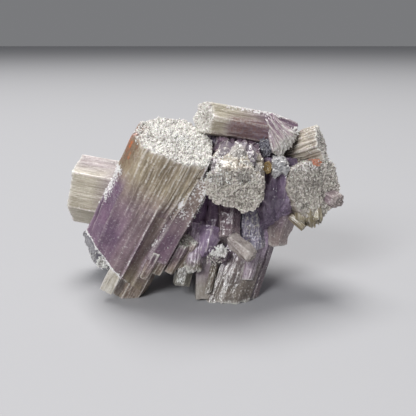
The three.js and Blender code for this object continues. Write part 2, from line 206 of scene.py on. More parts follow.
def prism_surface(tip, points, columns, seed, core=(0, 0), slope=(0, 0), cut=(0, 0), level="", relief=1.0,
                  rough=(1.0, 1.0), crust=(0.0, 1.0), grain=1.0, calm=None, swell=None, cap=None, fan=None,
                  broken=1.0, pitch=0.2):
    """The skin of a bundle of columns, closed at both ends, in millimetres. Its side is a function of the
    angle round the core and the height along it: the farthest outline of the columns that reach that
    height, less the relief of the ribs, which fades where calm says so, plus what swell adds. Each end is a
    function of the angle and the share of the way to the core: a plane that slopes, plus the faces of cap,
    plus plates of two sizes that stand at different heights, in rays from the point fan if there is one.
    rough and crust go for the inner and the outer end, grain scales the plates, broken the number of breaks
    in the ribs, and pitch is the grid's step. level names the end that stands on the floor. Returns the
    grid's points and its marks."""
    across, up, along = axes_of(points)
    tip = np.array(tip, float)
    dense = np.linspace(0, 2 * np.pi, 2881)
    outline = np.max([reach_of(c[0], dense, core) for c in columns], axis=0)
    rim = np.stack([outline * np.cos(dense), outline * np.sin(dense)], -1)
    arc = np.concatenate([[0], np.cumsum(np.linalg.norm(np.diff(rim, axis=0), axis=1))])
    girth = arc[-1]
    count = int(girth / pitch)
    around = np.arange(count) / count
    angle = np.interp(around * girth, arc, dense)
    reach = np.array([reach_of(c[0], angle, core) for c in columns])
    start, stop = columns[0][1], columns[0][2]
    turnx, turny = np.cos(angle), np.sin(angle)

    def end_height(x, y, top):
        qx, qy = x + 40, y + 40
        if fan and top:
            far = np.hypot(x - fan[0], y - fan[1]) + 2
            qx, qy = 60 + 9 * np.arctan2(x - fan[0], y - fan[1]), 20 + 0.45 * far
        big, border = plates(qx, qy, PLATE_SIZES[0] * grain, seed + 10 * top)
        small, crack = plates(qx, qy, PLATE_SIZES[1] * grain, seed + 5 + 10 * top)
        fine = noise_at(x, y, 0 * x, 0.3 * grain, seed + 3)
        broad = noise_at(x, y, 0 * x, 3.0, seed + 4)
        lift = 0.32 * big + 0.2 * small + 0.14 * fine
        lift = lift - 0.14 * (1 - crack) - 0.08 * (1 - border) + 0.3 * broad
        lift = rough[top] * (lift - 0.15)
        # pit: painted shade, darker in the cracks and on the low plates of the end.
        pit = np.clip(0.75 - 0.6 * small - 0.5 * fine - 0.4 * crack, 0, 1)
        floor_height = -(tip[2] + x * across[2] + y * up[2]) / along[2]
        if top and level == "outer":
            return floor_height - np.abs(lift), pit
        if top:
            return stop - slope[0] * x - slope[1] * y + lift + (cap(x, y) if cap else 0), pit
        if level == "inner":
            return floor_height + np.abs(lift), pit
        return start - cut[0] * x - cut[1] * y - lift, pit

    def rim_at(height):
        inside = [(c[1] - 0.01 <= height) & (c[2] + 0.01 >= height) for c in columns]
        return np.where(np.array(inside)[:, None], reach, 0).max(0)

    rim_top, rim_low = rim_at(stop), rim_at(start)
    high = end_height(core[0] + rim_top * turnx, core[1] + rim_top * turny, 1)[0]
    low = end_height(core[0] + rim_low * turnx, core[1] + rim_low * turny, 0)[0]
    rows = max(8, int(abs(stop - start) / pitch))
    share = np.linspace(0, 1, rows)[:, None]
    w = low + (high - low) * share
    radius = reach[0] + 0 * w
    body = np.stack([core[0] + radius * turnx, core[1] + radius * turny, w], -1)
    drift = 0.9 * soft_noise(body, 1.3, seed + 31) + 0.5 * soft_noise(body, 0.5, seed + 32)
    for c, r in zip(columns[1:], reach[1:]):
        fade_low, fade_high = c[3:] if len(c) > 3 else (0.5, 0.3)
        below = (c[1] + drift * min(1, fade_low) - w) / fade_low
        gone = np.maximum(below, (w - c[2] - 0.3 * drift) / fade_high)
        radius = np.maximum(radius, r - 2.5 * np.clip(gone, 0, 4) * (r > 0))
    radius = np.maximum(radius, 0.3)
    body = np.stack([core[0] + radius * turnx, core[1] + radius * turny, w], -1)
    smooth = calm(*np.moveaxis(body, -1, 0)) if calm else np.zeros(w.shape)
    wander = around + 0.35 / girth * soft_noise(body, 2.5, seed + 33)
    jagged = w + 0.5 * soft_noise(body, 0.6, seed + 34)
    counts = max(5, int(girth / RIB_WIDTHS[0])), max(8, int(girth / RIB_WIDTHS[1]))
    value, edge = ribs(wander, jagged, counts[0], RIB_LENGTHS[0] / broken, seed + 41)
    value2, edge2 = ribs(wander, jagged, counts[1], RIB_LENGTHS[1] / broken, seed + 51)
    flute = soft_noise(body * (1, 1, 0.14 * broken), 2.0, seed + 36)
    crest = 1 - 2 * np.abs(soft_noise(body * (1, 1, 0.1 * broken), 0.7, seed + 37))
    hair = 1 - 2 * np.abs(soft_noise(body * (1, 1, 0.12 * broken), 0.36, seed + 38))
    sunk = 0.14 * (0.5 - value) + 0.07 * (1 - edge) ** 3 + 0.13 * (0.5 - value2) + 0.07 * (1 - edge2) ** 3
    sunk = sunk - 0.11 * flute - 0.09 * crest - 0.07 * hair
    sunk = relief * (sunk * (1 - 0.93 * smooth) + 0.07 * soft_noise(body, 2.4, seed + 7))
    ends = np.minimum(w - low, high - w)
    chip = np.exp(-ends / 0.4) * (0.08 + 0.25 * np.maximum(0, soft_noise(body, 0.8, seed + 8)))
    chip = chip * np.where(share < 0.5, rough[0], rough[1])
    radius = radius - sunk - chip
    if swell:
        radius = radius + swell(*np.moveaxis(body, -1, 0))
    radius = np.maximum(radius, 0.25)
    proud = radius - blurred(radius, 3)
    # Proud ridges turn pale: partly real pale broken edges, partly painted highlight.
    wear_and_highlight = np.clip(proud / 0.1, 0, 1) * (1 - 0.65 * smooth)
    # Sunk grooves are marked for painted shade: darker in the colour.
    hollow_shade = np.clip(-proud / 0.16, 0, 1)

    s_top = np.linspace(1, 0, max(3, int(rim_top.mean() / pitch)) + 1)[1:-1][:, None]
    s_low = np.linspace(0, 1, max(3, int(rim_low.mean() / pitch)) + 1)[1:-1][:, None]
    r_all = np.concatenate([s_low * radius[0], radius, s_top * radius[-1]])
    x, y = core[0] + r_all * turnx, core[1] + r_all * turny
    z_low, pit_shade_low = end_height(x[:len(s_low)], y[:len(s_low)], 0)
    z_top, pit_shade_top = end_height(x[-len(s_top):], y[-len(s_top):], 1)
    z = np.concatenate([z_low, w, z_top])
    edge_of = np.exp(-np.maximum(ends, 0) / 0.3) * np.where(share < 0.5, crust[0], crust[1])
    is_end = np.concatenate([np.full(z_low.shape, crust[0]), edge_of, np.full(z_top.shape, crust[1])])
    marks = {
        "end": is_end,
        "hollow_shade": np.concatenate([pit_shade_low, hollow_shade, pit_shade_top]),
        "wear_and_highlight": np.concatenate([pit_shade_low * 0, wear_and_highlight, pit_shade_top * 0]),
        "calm": np.concatenate([pit_shade_low * 0 + 1, smooth, pit_shade_top * 0 + 1]),
    }
    outward = turnx[:, None] * across + turny[:, None] * up
    outward = np.concatenate([np.broadcast_to(way, (*part.shape, 3)) for way, part in (
        (-along, z_low), (outward, w), (along, z_top))]).reshape(-1, 3)
    poles = []
    for top in (0, 1):
        spot = np.array(core, float)
        poles.append((*spot, float(end_height(spot[:1], spot[1:], top)[0][0])))
    local = np.concatenate([np.stack([x, y, z], -1).reshape(-1, 3), np.array(poles)])
    place = tip + local[:, :1] * across + local[:, 1:2] * up + local[:, 2:] * along
    place[:, 2] = np.maximum(place[:, 2], 0)
    return {
        "shape": x.shape,
        "place": place,
        "local": local,
        "outward": np.concatenate([outward, [-along, along]]),
        "girth": girth,
        "broken": broken,
        "marks": {k: np.concatenate([v.ravel(), [v[0].mean(), v[-1].mean()]]) for k, v in marks.items()},
    }


def hand_over(name, mesh, material, node, slot):
    """Makes a mesh a piece that stands for this CAD node, in this material. slot is not used."""
    mesh.materials.append(material)
    piece = bpy.data.objects.new(name, mesh)
    bpy.context.scene.collection.objects.link(piece)
    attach(piece, "root")
    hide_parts(node)


def make_piece(name, surface, material, node, slot, **marks):
    """Turns a grid that closes on itself round the prism, with a pole at each end, into a mesh with its
    grain as a UV map (millimetres round and along) and its marks as attributes, and hands it to the
    frame."""
    rows, count = surface["shape"]
    i, j = np.meshgrid(np.arange(rows - 1), np.arange(count), indexing="ij")
    k = (j + 1) % count
    quads = np.stack([i * count + j, i * count + k, (i + 1) * count + k, (i + 1) * count + j], -1)
    quads = quads.reshape(-1, 4)
    j = np.arange(count)
    k = (j + 1) % count
    low_pole, high_pole = rows * count, rows * count + 1
    fan_low = np.stack([np.full(count, low_pole), k, j], -1)
    fan_high = np.stack([np.full(count, high_pole), (rows - 1) * count + j, (rows - 1) * count + k], -1)
    corners = np.concatenate([quads.ravel(), fan_low.ravel(), fan_high.ravel()])
    sizes = np.concatenate([np.full(len(quads), 4), np.full(2 * count, 3)])
    mesh = bpy.data.meshes.new(name)
    mesh.vertices.add(len(surface["place"]))
    mesh.vertices.foreach_set("co", (surface["place"] * MM).ravel())
    mesh.loops.add(len(corners))
    mesh.loops.foreach_set("vertex_index", corners)
    mesh.polygons.add(len(sizes))
    mesh.polygons.foreach_set("loop_start", np.concatenate([[0], np.cumsum(sizes)[:-1]]))
    mesh.update(calc_edges=True)
    column = np.where(corners < rows * count, corners % count, 0).astype(float)
    wrapped = np.repeat(np.concatenate([quads[:, 0] % count, j, j]) == count - 1, sizes)
    column = np.where(wrapped & (column == 0), count, column)
    round_it = column / count * surface["girth"]
    along_it = surface["local"][corners, 2] * surface["broken"]
    mesh.uv_layers.new(name="grain").data.foreach_set("uv", np.stack([round_it, along_it], -1).ravel())
    plain = np.zeros(len(surface["place"]))
    marks = {"purple": plain, "frost_and_highlight": plain, "rust": plain} | surface["marks"] | marks
    for mark, values in marks.items():
        mesh.attributes.new(mark, "FLOAT", "POINT").data.foreach_set("value", np.clip(values, 0, 1))
    mesh.polygons.foreach_set("use_smooth", np.ones(len(sizes), bool))
    mesh.set_sharp_from_angle(angle=np.radians(SHARP_ANGLE))
    hand_over(name, mesh, material, node, slot)


def tone(red, green, blue):
    """A colour from 0 to 255 per channel, as a screen shows it, in the linear values that shaders take."""
    c = np.array([red, green, blue]) / 255
    return (*np.where(c <= 0.04045, c / 12.92, ((c + 0.055) / 1.055) ** 2.4), 1.0)


def add_node(tree, kind, links=(), **settings):
    """Adds a shader node: settings are its properties, or its input sockets by name with _ for a blank, and
    links are pairs of an input's name or number and the output that feeds it."""
    made = tree.nodes.new(kind)
    for key, value in settings.items():
        if hasattr(made, key):
            setattr(made, key, value)
        else:
            made.inputs[key.replace("_", " ")].default_value = value
    for socket, source in links:
        tree.links.new(source, made.inputs[socket])
    return made


def new_group(name, inputs, outputs):
    """An empty shader node group with these named sockets, and its two end nodes."""
    tree = bpy.data.node_groups.new(name, "ShaderNodeTree")
    for label, kind in inputs:
        tree.interface.new_socket(label, in_out="INPUT", socket_type="NodeSocket" + kind)
    for label, kind in outputs:
        tree.interface.new_socket(label, in_out="OUTPUT", socket_type="NodeSocket" + kind)
    return tree, tree.nodes.new("NodeGroupInput"), tree.nodes.new("NodeGroupOutput")


def feed(tree, sockets, values):
    """Gives each input socket its value: a fixed one, or another node's output."""
    for socket, value in zip(sockets, values):
        if isinstance(value, bpy.types.NodeSocket):
            tree.links.new(value, socket)
        else:
            socket.default_value = value


def mix_colour(tree, share, first, second, kind="MIX"):
    """Blends two colours, each a fixed colour or another node's output, by a share that is a number or an
    output."""
    made = tree.nodes.new("ShaderNodeMix")
    made.data_type = "RGBA"
    made.blend_type = kind
    feed(tree, (made.inputs[0], made.inputs[6], made.inputs[7]), (share, first, second))
    return made.outputs[2]


def sums(tree, kind, *values):
    """One arithmetic step on numbers or outputs."""
    made = tree.nodes.new("ShaderNodeMath")
    made.operation = kind
    feed(tree, made.inputs, values)
    return made.outputs[0]


def ramp(tree, value, low, high):
    """0 below low, 1 above high, and smooth between."""
    made = tree.nodes.new("ShaderNodeMapRange")
    made.interpolation_type = "SMOOTHSTEP"
    made.inputs["From Min"].default_value = low
    made.inputs["From Max"].default_value = high
    tree.links.new(value, made.inputs["Value"])
    return made.outputs["Result"]


def noise_on(tree, vector, stretch, detail=4.0, roughness=0.55):
    """Noise on a vector that is first stretched along each axis."""
    scaled = add_node(tree, "ShaderNodeVectorMath", [(0, vector)], operation="MULTIPLY")
    scaled.inputs[1].default_value = stretch
    made = add_node(tree, "ShaderNodeTexNoise", [("Vector", scaled.outputs[0])], Scale=1.0, Detail=detail,
                    Roughness=roughness)
    return made.outputs["Fac"]


# The striped grain of a prism's side: growth lines that run along it, at three widths, and cloudy veils.
grain_group, grain_in, grain_out = new_group(
    "striped grain", [("Grain", "Vector")],
    [("Stripes", "Float"), ("Streaks", "Float"), ("Veil", "Float"), ("Height", "Float")])
broad = noise_on(grain_group, grain_in.outputs["Grain"], (0.9, 0.07, 1))
narrow = noise_on(grain_group, grain_in.outputs["Grain"], (3.2, 0.18, 1), detail=5.0, roughness=0.6)
hair = noise_on(grain_group, grain_in.outputs["Grain"], (8.0, 0.6, 1), detail=3.0)
veil = noise_on(grain_group, grain_in.outputs["Grain"], (0.3, 0.14, 1), detail=6.0, roughness=0.62)
striped = sums(grain_group, "ADD", sums(grain_group, "MULTIPLY", broad, 0.5),
               sums(grain_group, "MULTIPLY", narrow, 0.5))
grain_group.links.new(ramp(grain_group, striped, 0.36, 0.64), grain_out.inputs["Stripes"])
grain_group.links.new(ramp(grain_group, narrow, 0.56, 0.7), grain_out.inputs["Streaks"])
grain_group.links.new(ramp(grain_group, veil, 0.38, 0.66), grain_out.inputs["Veil"])
grain_group.links.new(sums(grain_group, "ADD", narrow, sums(grain_group, "MULTIPLY", hair, 0.6)),
                      grain_out.inputs["Height"])

# The pitted roughness of a prism's end: small pits darkened as painted shade, and bright points between
# them that are painted glints.
pitted_group, pitted_in, pitted_out = new_group(
    "pitted end", [("Place", "Vector")], [("Pit_shade", "Float"), ("Points", "Float"), ("Height", "Float")])
pit = add_node(pitted_group, "ShaderNodeTexVoronoi", [("Vector", pitted_in.outputs["Place"])], Scale=2100.0)
grit = noise_on(pitted_group, pitted_in.outputs["Place"], (2300, 2300, 2300), detail=4.0, roughness=0.65)
cloud = noise_on(pitted_group, pitted_in.outputs["Place"], (420, 420, 420), detail=3.0)
uneven = sums(pitted_group, "ADD", sums(pitted_group, "MULTIPLY", grit, 0.7),
              sums(pitted_group, "MULTIPLY", cloud, 0.3))
pitted_group.links.new(ramp(pitted_group, uneven, 0.34, 0.54), pitted_out.inputs["Pit_shade"])
pitted_group.links.new(ramp(pitted_group, grit, 0.58, 0.65), pitted_out.inputs["Points"])
depth = sums(pitted_group, "MULTIPLY", pit.outputs["Distance"], 0.5)
pitted_group.links.new(sums(pitted_group, "SUBTRACT", grit, depth), pitted_out.inputs["Height"])

# Pale colour of worn broken edges and streaks, and of painted highlights on proud ridges.
WORN_AND_HIGHLIGHT_WHITE = tone(226, 220, 212)
# Painted glints: white specks that stand in for light catching tiny facets, on sides and ends.
GLINT_WHITE = tone(244, 242, 240)
END_GLINT_WHITE = tone(245, 243, 238)
# White of the frost crust, and of the painted highlight line on the left prism's plate.
FROST_AND_HIGHLIGHT_WHITE = tone(236, 233, 232)
RUST_BROWN = tone(122, 84, 72)
RUST_ORANGE = tone(212, 112, 58)


def surface_colour(tree, tints, contrast, sugar_shade_and_glint, worn_and_highlight):
    """The colour and the bump height of a crystal's skin, from its marks: striped sides that turn purple,
    pitted ends with painted shade in their pits and painted glints between them, pale broken edges that
    are partly painted highlight, white frost that also carries one painted highlight line, rust stains and
    painted shade in the hollows. tints are the pale and dark colours of the sides, of the purple parts and
    of the ends, from 0 to 255 per channel."""
    pale, dark, purple_pale, purple_deep, end_pale, end_dark = (tone(*tint) for tint in tints)
    grain = add_node(tree, "ShaderNodeUVMap", uv_map="grain").outputs[0]
    spot = add_node(tree, "ShaderNodeTexCoord").outputs["Object"]
    striped = add_node(tree, "ShaderNodeGroup", [("Grain", grain)], node_tree=grain_group)
    pitted = add_node(tree, "ShaderNodeGroup", [("Place", spot)], node_tree=pitted_group)
    mark = {m: add_node(tree, "ShaderNodeAttribute", attribute_name=m).outputs["Fac"]
            for m in ("end", "hollow_shade", "wear_and_highlight", "calm", "purple", "frost_and_highlight", "rust")}
    lively = sums(tree, "MULTIPLY_ADD", mark["calm"], -0.75, 1.0)
    centred = sums(tree, "SUBTRACT", striped.outputs["Stripes"], 0.5)
    stripes = sums(tree, "MULTIPLY_ADD", centred, sums(tree, "MULTIPLY", lively, contrast),
                   sums(tree, "MULTIPLY_ADD", striped.outputs["Veil"], 0.5, 0.25))
    sides = mix_colour(tree, stripes, dark, pale)
    violet = mix_colour(tree, stripes, purple_deep, purple_pale)
    colour = mix_colour(tree, mark["purple"], sides, violet)
    streaks = sums(tree, "MULTIPLY", striped.outputs["Streaks"], lively)
    colour = mix_colour(tree, sums(tree, "MULTIPLY", streaks, 0.3), colour, WORN_AND_HIGHLIGHT_WHITE)
    # Painted shade: the colour is darker in the hollows of the relief.
    colour = mix_colour(tree, sums(tree, "MULTIPLY", mark["hollow_shade"], 0.5), colour, dark, "MULTIPLY")
    # Proud edges: real pale wear and painted highlight together.
    patchy = sums(tree, "MULTIPLY_ADD", pitted.outputs["Pit_shade"], 0.7 * worn_and_highlight, 0.3 * worn_and_highlight)
    colour = mix_colour(tree, sums(tree, "MULTIPLY", mark["wear_and_highlight"], patchy), colour, WORN_AND_HIGHLIGHT_WHITE)
    # Painted shade in the small pits of the grit.
    shade = sums(tree, "MULTIPLY_ADD", pitted.outputs["Pit_shade"], -sugar_shade_and_glint, sugar_shade_and_glint)
    colour = mix_colour(tree, shade, colour, dark, "MULTIPLY")
    # Painted glints, brighter on proud edges.
    bright = sums(tree, "MULTIPLY_ADD", mark["wear_and_highlight"], 0.6, sugar_shade_and_glint)
    colour = mix_colour(tree, sums(tree, "MULTIPLY", pitted.outputs["Points"], bright), colour, GLINT_WHITE)
    # Ends: painted shade in their pits and hollows, and painted glints.
    ends = mix_colour(tree, pitted.outputs["Pit_shade"], end_dark, end_pale)
    ends = mix_colour(tree, sums(tree, "MULTIPLY", mark["hollow_shade"], 0.5), ends, end_dark)
    ends = mix_colour(tree, pitted.outputs["Points"], ends, END_GLINT_WHITE)
    colour = mix_colour(tree, mark["end"], colour, ends)
    ragged = sums(tree, "MULTIPLY_ADD", pitted.outputs["Height"], 1.2, -0.36)
    # White frost crust, and the painted highlight line where the left prism's plate edge is marked.
    crust = ramp(tree, sums(tree, "ADD", mark["frost_and_highlight"], ragged), 0.45, 0.85)
    colour = mix_colour(tree, crust, colour, FROST_AND_HIGHLIGHT_WHITE)
    stain = ramp(tree, sums(tree, "ADD", mark["rust"], ragged), 0.3, 1.1)
    stain_tint = mix_colour(tree, ramp(tree, mark["rust"], 0.75, 1.0), RUST_BROWN, RUST_ORANGE)
    colour = mix_colour(tree, sums(tree, "MULTIPLY", stain, 0.85), colour, stain_tint)
    height = tree.nodes.new("ShaderNodeMix")
    tree.links.new(sums(tree, "MAXIMUM", mark["end"], sugar_shade_and_glint), height.inputs[0])
    tree.links.new(sums(tree, "MULTIPLY", striped.outputs["Height"], lively), height.inputs[2])
    tree.links.new(pitted.outputs["Height"], height.inputs[3])
    return colour, height.outputs[0], mark


def crystal_material(name, tints, contrast, sugar_shade_and_glint, worn_and_highlight, bump, bump_height):
    """A material with the colour and the bump of a crystal's skin. Returns its tree, shader and marks
    too."""
    material = bpy.data.materials.new(name)
    material.use_nodes = True
    tree = material.node_tree
    shader = tree.nodes["Principled BSDF"]
    colour, height, mark = surface_colour(tree, tints, contrast, sugar_shade_and_glint, worn_and_highlight)
    made = add_node(tree, "ShaderNodeBump", [("Height", height)], Strength=bump, Distance=bump_height)
    tree.links.new(colour, shader.inputs["Base Color"])
    tree.links.new(made.outputs[0], shader.inputs["Normal"])
    shader.inputs["IOR"].default_value = 1.6
    return material, tree, shader, mark


def aragonite(name, *tints, gloss=0.3, cloudy=0.35, contrast=0.6, sugar_shade_and_glint=0.15, worn_and_highlight=0.6):
    """Cloudy aragonite: light sinks a millimetre or so into it, and its smooth faces shine more."""
    material, tree, shader, mark = crystal_material(name, tints, contrast, sugar_shade_and_glint, worn_and_highlight, 0.9, 0.14 * MM)
    rough = sums(tree, "MULTIPLY_ADD", mark["end"], 0.25, gloss)
    tree.links.new(sums(tree, "MULTIPLY_ADD", mark["calm"], -0.1, rough), shader.inputs["Roughness"])
    shader.inputs["Subsurface Weight"].default_value = cloudy
    shader.inputs["Subsurface Radius"].default_value = (1.0, 0.8, 1.0)
    shader.inputs["Subsurface Scale"].default_value = 1.4 * MM
    return material


def clear_aragonite(name, *tints, clear=0.5, rough=0.14, contrast=0.5, sugar_shade_and_glint=0.1, worn_and_highlight=0.5):
    """Clear aragonite: much of the light passes through it, and fine growth lines and veils cloud it."""
    material, tree, shader, mark = crystal_material(name, tints, contrast, sugar_shade_and_glint, worn_and_highlight, 0.7, 0.12 * MM)
    tree.links.new(sums(tree, "MULTIPLY_ADD", mark["end"], 0.2, rough), shader.inputs["Roughness"])
    shader.inputs["Transmission Weight"].default_value = clear
    return material


def between(value, *stops):
    """The height of a line drawn through these (value, height) stops."""
    at, heights = zip(*stops)
    return np.interp(value, at, heights)


PURPLE = ((148, 122, 143), (80, 56, 86))
WHITE_END = ((232, 229, 222), (140, 133, 124))
CREAM_END = ((212, 205, 195), (116, 109, 101))
GLASS_PURPLE = ((206, 190, 204), (146, 124, 148))
left_finish = aragonite("left_prism_aragonite", (196, 181, 155), (118, 103, 81), (138, 108, 131),
                        (82, 57, 84), *WHITE_END, gloss=0.2, sugar_shade_and_glint=0.2, worn_and_highlight=0.75)
clear_finish = clear_aragonite("clear_aragonite", (226, 220, 206), (166, 156, 138), *GLASS_PURPLE,
                               *WHITE_END, clear=0.4, contrast=0.8, sugar_shade_and_glint=0.3)
pale_finish = clear_aragonite("pale_glassy_aragonite", (234, 230, 221), (190, 182, 166), *GLASS_PURPLE,
                              *WHITE_END, clear=0.08, contrast=0.9, sugar_shade_and_glint=0.3, worn_and_highlight=1.0)
REST = "intergrown_prisms", "purple_beige_aragonite"


def crystal(name, finish, tip, points, columns, seed, purple, slot=None, marks=None, **options):
    """One crystal, from its surface to its piece. purple gives stops of how purple it is at each height,
    and marks works out its other marks from the place. One with a slot of its own stands for the CAD node
    of the same name, and the others for the mass of intergrown prisms."""
    surface = prism_surface(tip, points, columns, seed, **options)
    streaks = 1.5 * soft_noise(surface["local"] * (1, 1, 0.12), 1.5, seed)
    shares = {"purple": between(surface["local"][:, 2] + streaks, *purple)}
    if marks:
        shares |= marks(*surface["local"].T)
    make_piece(name, surface, finish, *((name, slot) if slot else REST), **shares)
    return surface


def facets(*planes):
    """An end cut by slanted flat faces: each is its slope along x, its slope along y and its height in the
    middle, and the lowest of them rules."""
    return lambda x, y: np.min([middle - sx * x - sy * y for sx, sy, middle in planes], axis=0)


LEFT_TIP = (-4.7, -14.7, 34.6)
LEFT_POINTS = (0.45, -0.21, 0.87)
LEFT_LENGTH = 29.6
LEFT_BREAK = (0.42, 0.1)
RIDGE_X = 2.9
PLATE_EDGE = ((-22, 5.5), (-13, 6.3), (-4, 6.9))


def left_calm(x, y, w):
    """1 on the smooth lower left face and on the plate at the right, 0 on the fluted upper face."""
    edge_x = between(w, (-31, 2.6), (-21, -0.2), (-12, -2.6), (-6, -3.8), (-1, -5.5))
    face = between(edge_x - x + 0.9 * noise_at(x, y, w, 1.5, 3), (-0.6, 0), (1.4, 1)) * (y < 1)
    plate = between(x - between(w, *PLATE_EDGE), (0.2, 0), (0.6, 1)) * (y < 1.5) * (w < -3)
    uneven = 5 * noise_at(x, y, w * 0.06, 0.8, 4) + 2 * noise_at(x, y, w, 2.5, 5)
    fading = between(w + uneven, (-27, 1), (-18, 0.85), (-12, 0.4), (-7, 0))
    return np.max([face, plate, fading], axis=0)


def left_swell(x, y, w):
    """The ridge that runs down the front, the sunk band right of it, and shallow shell-like hollows on the
    smooth face."""
    front = y < 2
    ridge = 0.55 * np.exp(-(((x - RIDGE_X) / 0.28) ** 2)) * between(w, (-30, 1), (-14, 1), (-10, 0)) * front
    band = -0.45 * between(x, (3.2, 0), (4, 1), (5.2, 1), (6, 0)) * between(w, (-16, 1), (-9, 0)) * front
    shells = 0.5 * np.abs(noise_at(x, y, w, 6.0, 23)) * left_calm(x, y, w)
    plate = 0.35 * between(x - between(w, *PLATE_EDGE), (0, 0), (0.3, 1)) * (w < -3.4) * front
    return ridge + band - shells + plate


def left_marks(x, y, w):
    """Purple low down and on the plate, a beige band down the front, white crust on the upper left edge, on
    the ridge, beside the plate and along the slanting break, a painted highlight line along the plate's
    right edge, and a rust stain under the top."""
    front = y < 2
    from_plate = x - between(w, *PLATE_EDGE)
    on_plate = between(from_plate, (0.2, 0), (0.8, 1)) * front
    above_break = w + LEFT_BREAK[0] * x + LEFT_BREAK[1] * y + LEFT_LENGTH
    right_foot = between(x, (2.8, 0), (4, 1)) * front
    purple = between(w, (-34, 0.4), (-31, 0.9), (-22, 1), (-15, 0.8), (-11, 0.35), (-8, 0))
    band = between(x, (-1.5, 0), (0, 0.2), (2.4, 0.25), (3, 0), (4, 0.5), (5.2, 0.4), (6, 0))
    band = band * (w < -14) * front
    plate = between(w + 2 * noise_at(x, y, w, 2.0, 12), (-17, 0.9), (-12, 0.6), (-8, 0.4), (-4, 0.3))
    purple = purple * (1 - band) * (1 - on_plate) + plate * on_plate
    purple = np.maximum(purple, between(w, (-12, 1), (-8, 0)) * between(x, (-5, 1), (-4, 0)))
    purple = purple * (1 - right_foot * between(above_break, (0.6, 0.9), (5.5, 0)))
    crust = between(w, (-20, 0), (-17, 0.8), (-9, 1), (-7.5, 0))
    crust = crust * between(x, (-8.2, 1), (-6.8, 0.8), (-5.8, 0)) * (y < 0)
    line = between(np.abs(from_plate), (0.1, 0.75), (1.0, 0))
    line = line * between(w, (-24, 0), (-20, 1), (-9, 1), (-4, 0.3))
    line = line * (0.8 + 0.8 * noise_at(x, y, w, 1.4, 16))
    break_edge = between(above_break, (-1, 1), (0.35, 0.9), (0.8, 0)) * front * (1 - 0.8 * right_foot)
    rust = between(w, (-10, 0), (-7.5, 0.7), (-2, 0.76), (-0.4, 0.6)) * between(x, (-6.4, 1), (-3.0, 0))
    rust = rust * (y < 1.5) * (1.0 + 0.35 * noise_at(x, y, w * 0.6, 0.6, 14))
    pale = between(w, (-22, 0.1), (-16, 0.2), (-10, 0.6), (-6, 0.8), (-4.4, 1)) * on_plate
    pale = pale * (0.9 + 0.5 * noise_at(x, y, w * 0.3, 0.7, 17))
    right_edge = between(w, (-22, 8.3), (-4, 9.5))
    # Painted highlight: a thin bright line along the plate's right edge, carried in the frost mark.
    edge_highlight = 0.5 * between(np.abs(x - right_edge), (0.1, 1), (0.3, 0)) * (w < -5) * front
    crest = 0.62 * np.exp(-(((x - RIDGE_X) / 0.25) ** 2)) * front * (0.9 + 0.6 * noise_at(x, y, w, 1.2, 18))
    crest = crest * between(w, (-28, 0.8), (-24, 1), (-13, 1), (-9, 0))
    frost_and_highlight = np.max([crust, line * front, break_edge, pale, edge_highlight, crest], axis=0)
    return {"purple": purple, "frost_and_highlight": frost_and_highlight, "rust": rust}


left_prism = crystal("left_prism", left_finish, LEFT_TIP, LEFT_POINTS, [
    ([(-7.8, -2.4), (0.6, -7.0), (3, -6.9), (7.6, -3.8), (7.8, -1), (7.2, 4.5), (4.5, 8), (0, 8.6),
      (-4.8, 6), (-7.6, 1.5)], -LEFT_LENGTH, -0.2),
    ([(-7.8, -3.6), (-5.4, -6.2), (-1.5, -7.2), (3.4, -7.0), (7.8, -4.8), (7.8, 0), (0, 4), (-7.4, 0)],
     -10, 2, 30, 1),
    ([(5.0, -5.0), (6.4, -5.2), (9.7, -4.3), (10.3, -2.2), (9.8, 0.5), (5, 2)], -24, -3.0, 0.6, 0.6),
], 11, ((0, 0), (1, 0)), marks=left_marks, core=(1, 0.6), slope=(-0.1, -0.16), cut=LEFT_BREAK,
    calm=left_calm, swell=left_swell, pitch=0.165)

for number, (name, corners, low, high, finish, purple) in enumerate((
    ("left_prism_foot", hexagon(6.3, -0.6, 6.4, 7.2, 10), -41, -24, left_finish, 0.3),
    ("left_prism_light_column", hexagon(1.5, -3.8, 3.8, 3.8, 45, 4), -35.6, -27, pale_finish, 0.0),
    ("left_prism_column_1", hexagon(8.8, -2.8, 3.0, 3.0, 20), -27.3, -20, left_finish, 0.9),
    ("left_prism_column_2", hexagon(11.2, -1.9, 2.8, 2.6, 0), -26.2, -19, left_finish, 0.8),
    ("left_prism_column_3", hexagon(13.0, -0.8, 2.2, 2.4, 30), -25.2, -18, left_finish, 0.5),
    ("left_prism_column_4", hexagon(7.0, -4.4, 2.4, 2.2, 0), -28.6, -22, left_finish, 0.8),
    ("left_prism_column_5", hexagon(4.6, -3.6, 2.6, 2.6, 10), -31.5, -24, clear_finish, 0.5),
)):
    crystal(name, finish, LEFT_TIP, LEFT_POINTS, [(corners, low, high)], 120 + 7 * number,
            ((low, 0.2 * purple), (low + 5, purple)), core=np.mean(corners, axis=0),
            level="" if number else "inner", rough=(0.5, 1.0), relief=0.6, crust=(0.4, 1), broken=2.0,
            pitch=0.14)

# ---- the left side -------------------------------------------------------------------------------
# A cream prism that lies level behind the big one, and a clear grey crystal that leans out below it. Both
# are bundles of twinned columns like the rest.


def column(wide, deep, turn, long, sides=6, past=0):
    """A prism of one column, as its outline round the middle and the heights where it starts and stops."""
    return [(hexagon(0, 0, wide, deep, turn, sides), -long, past)]


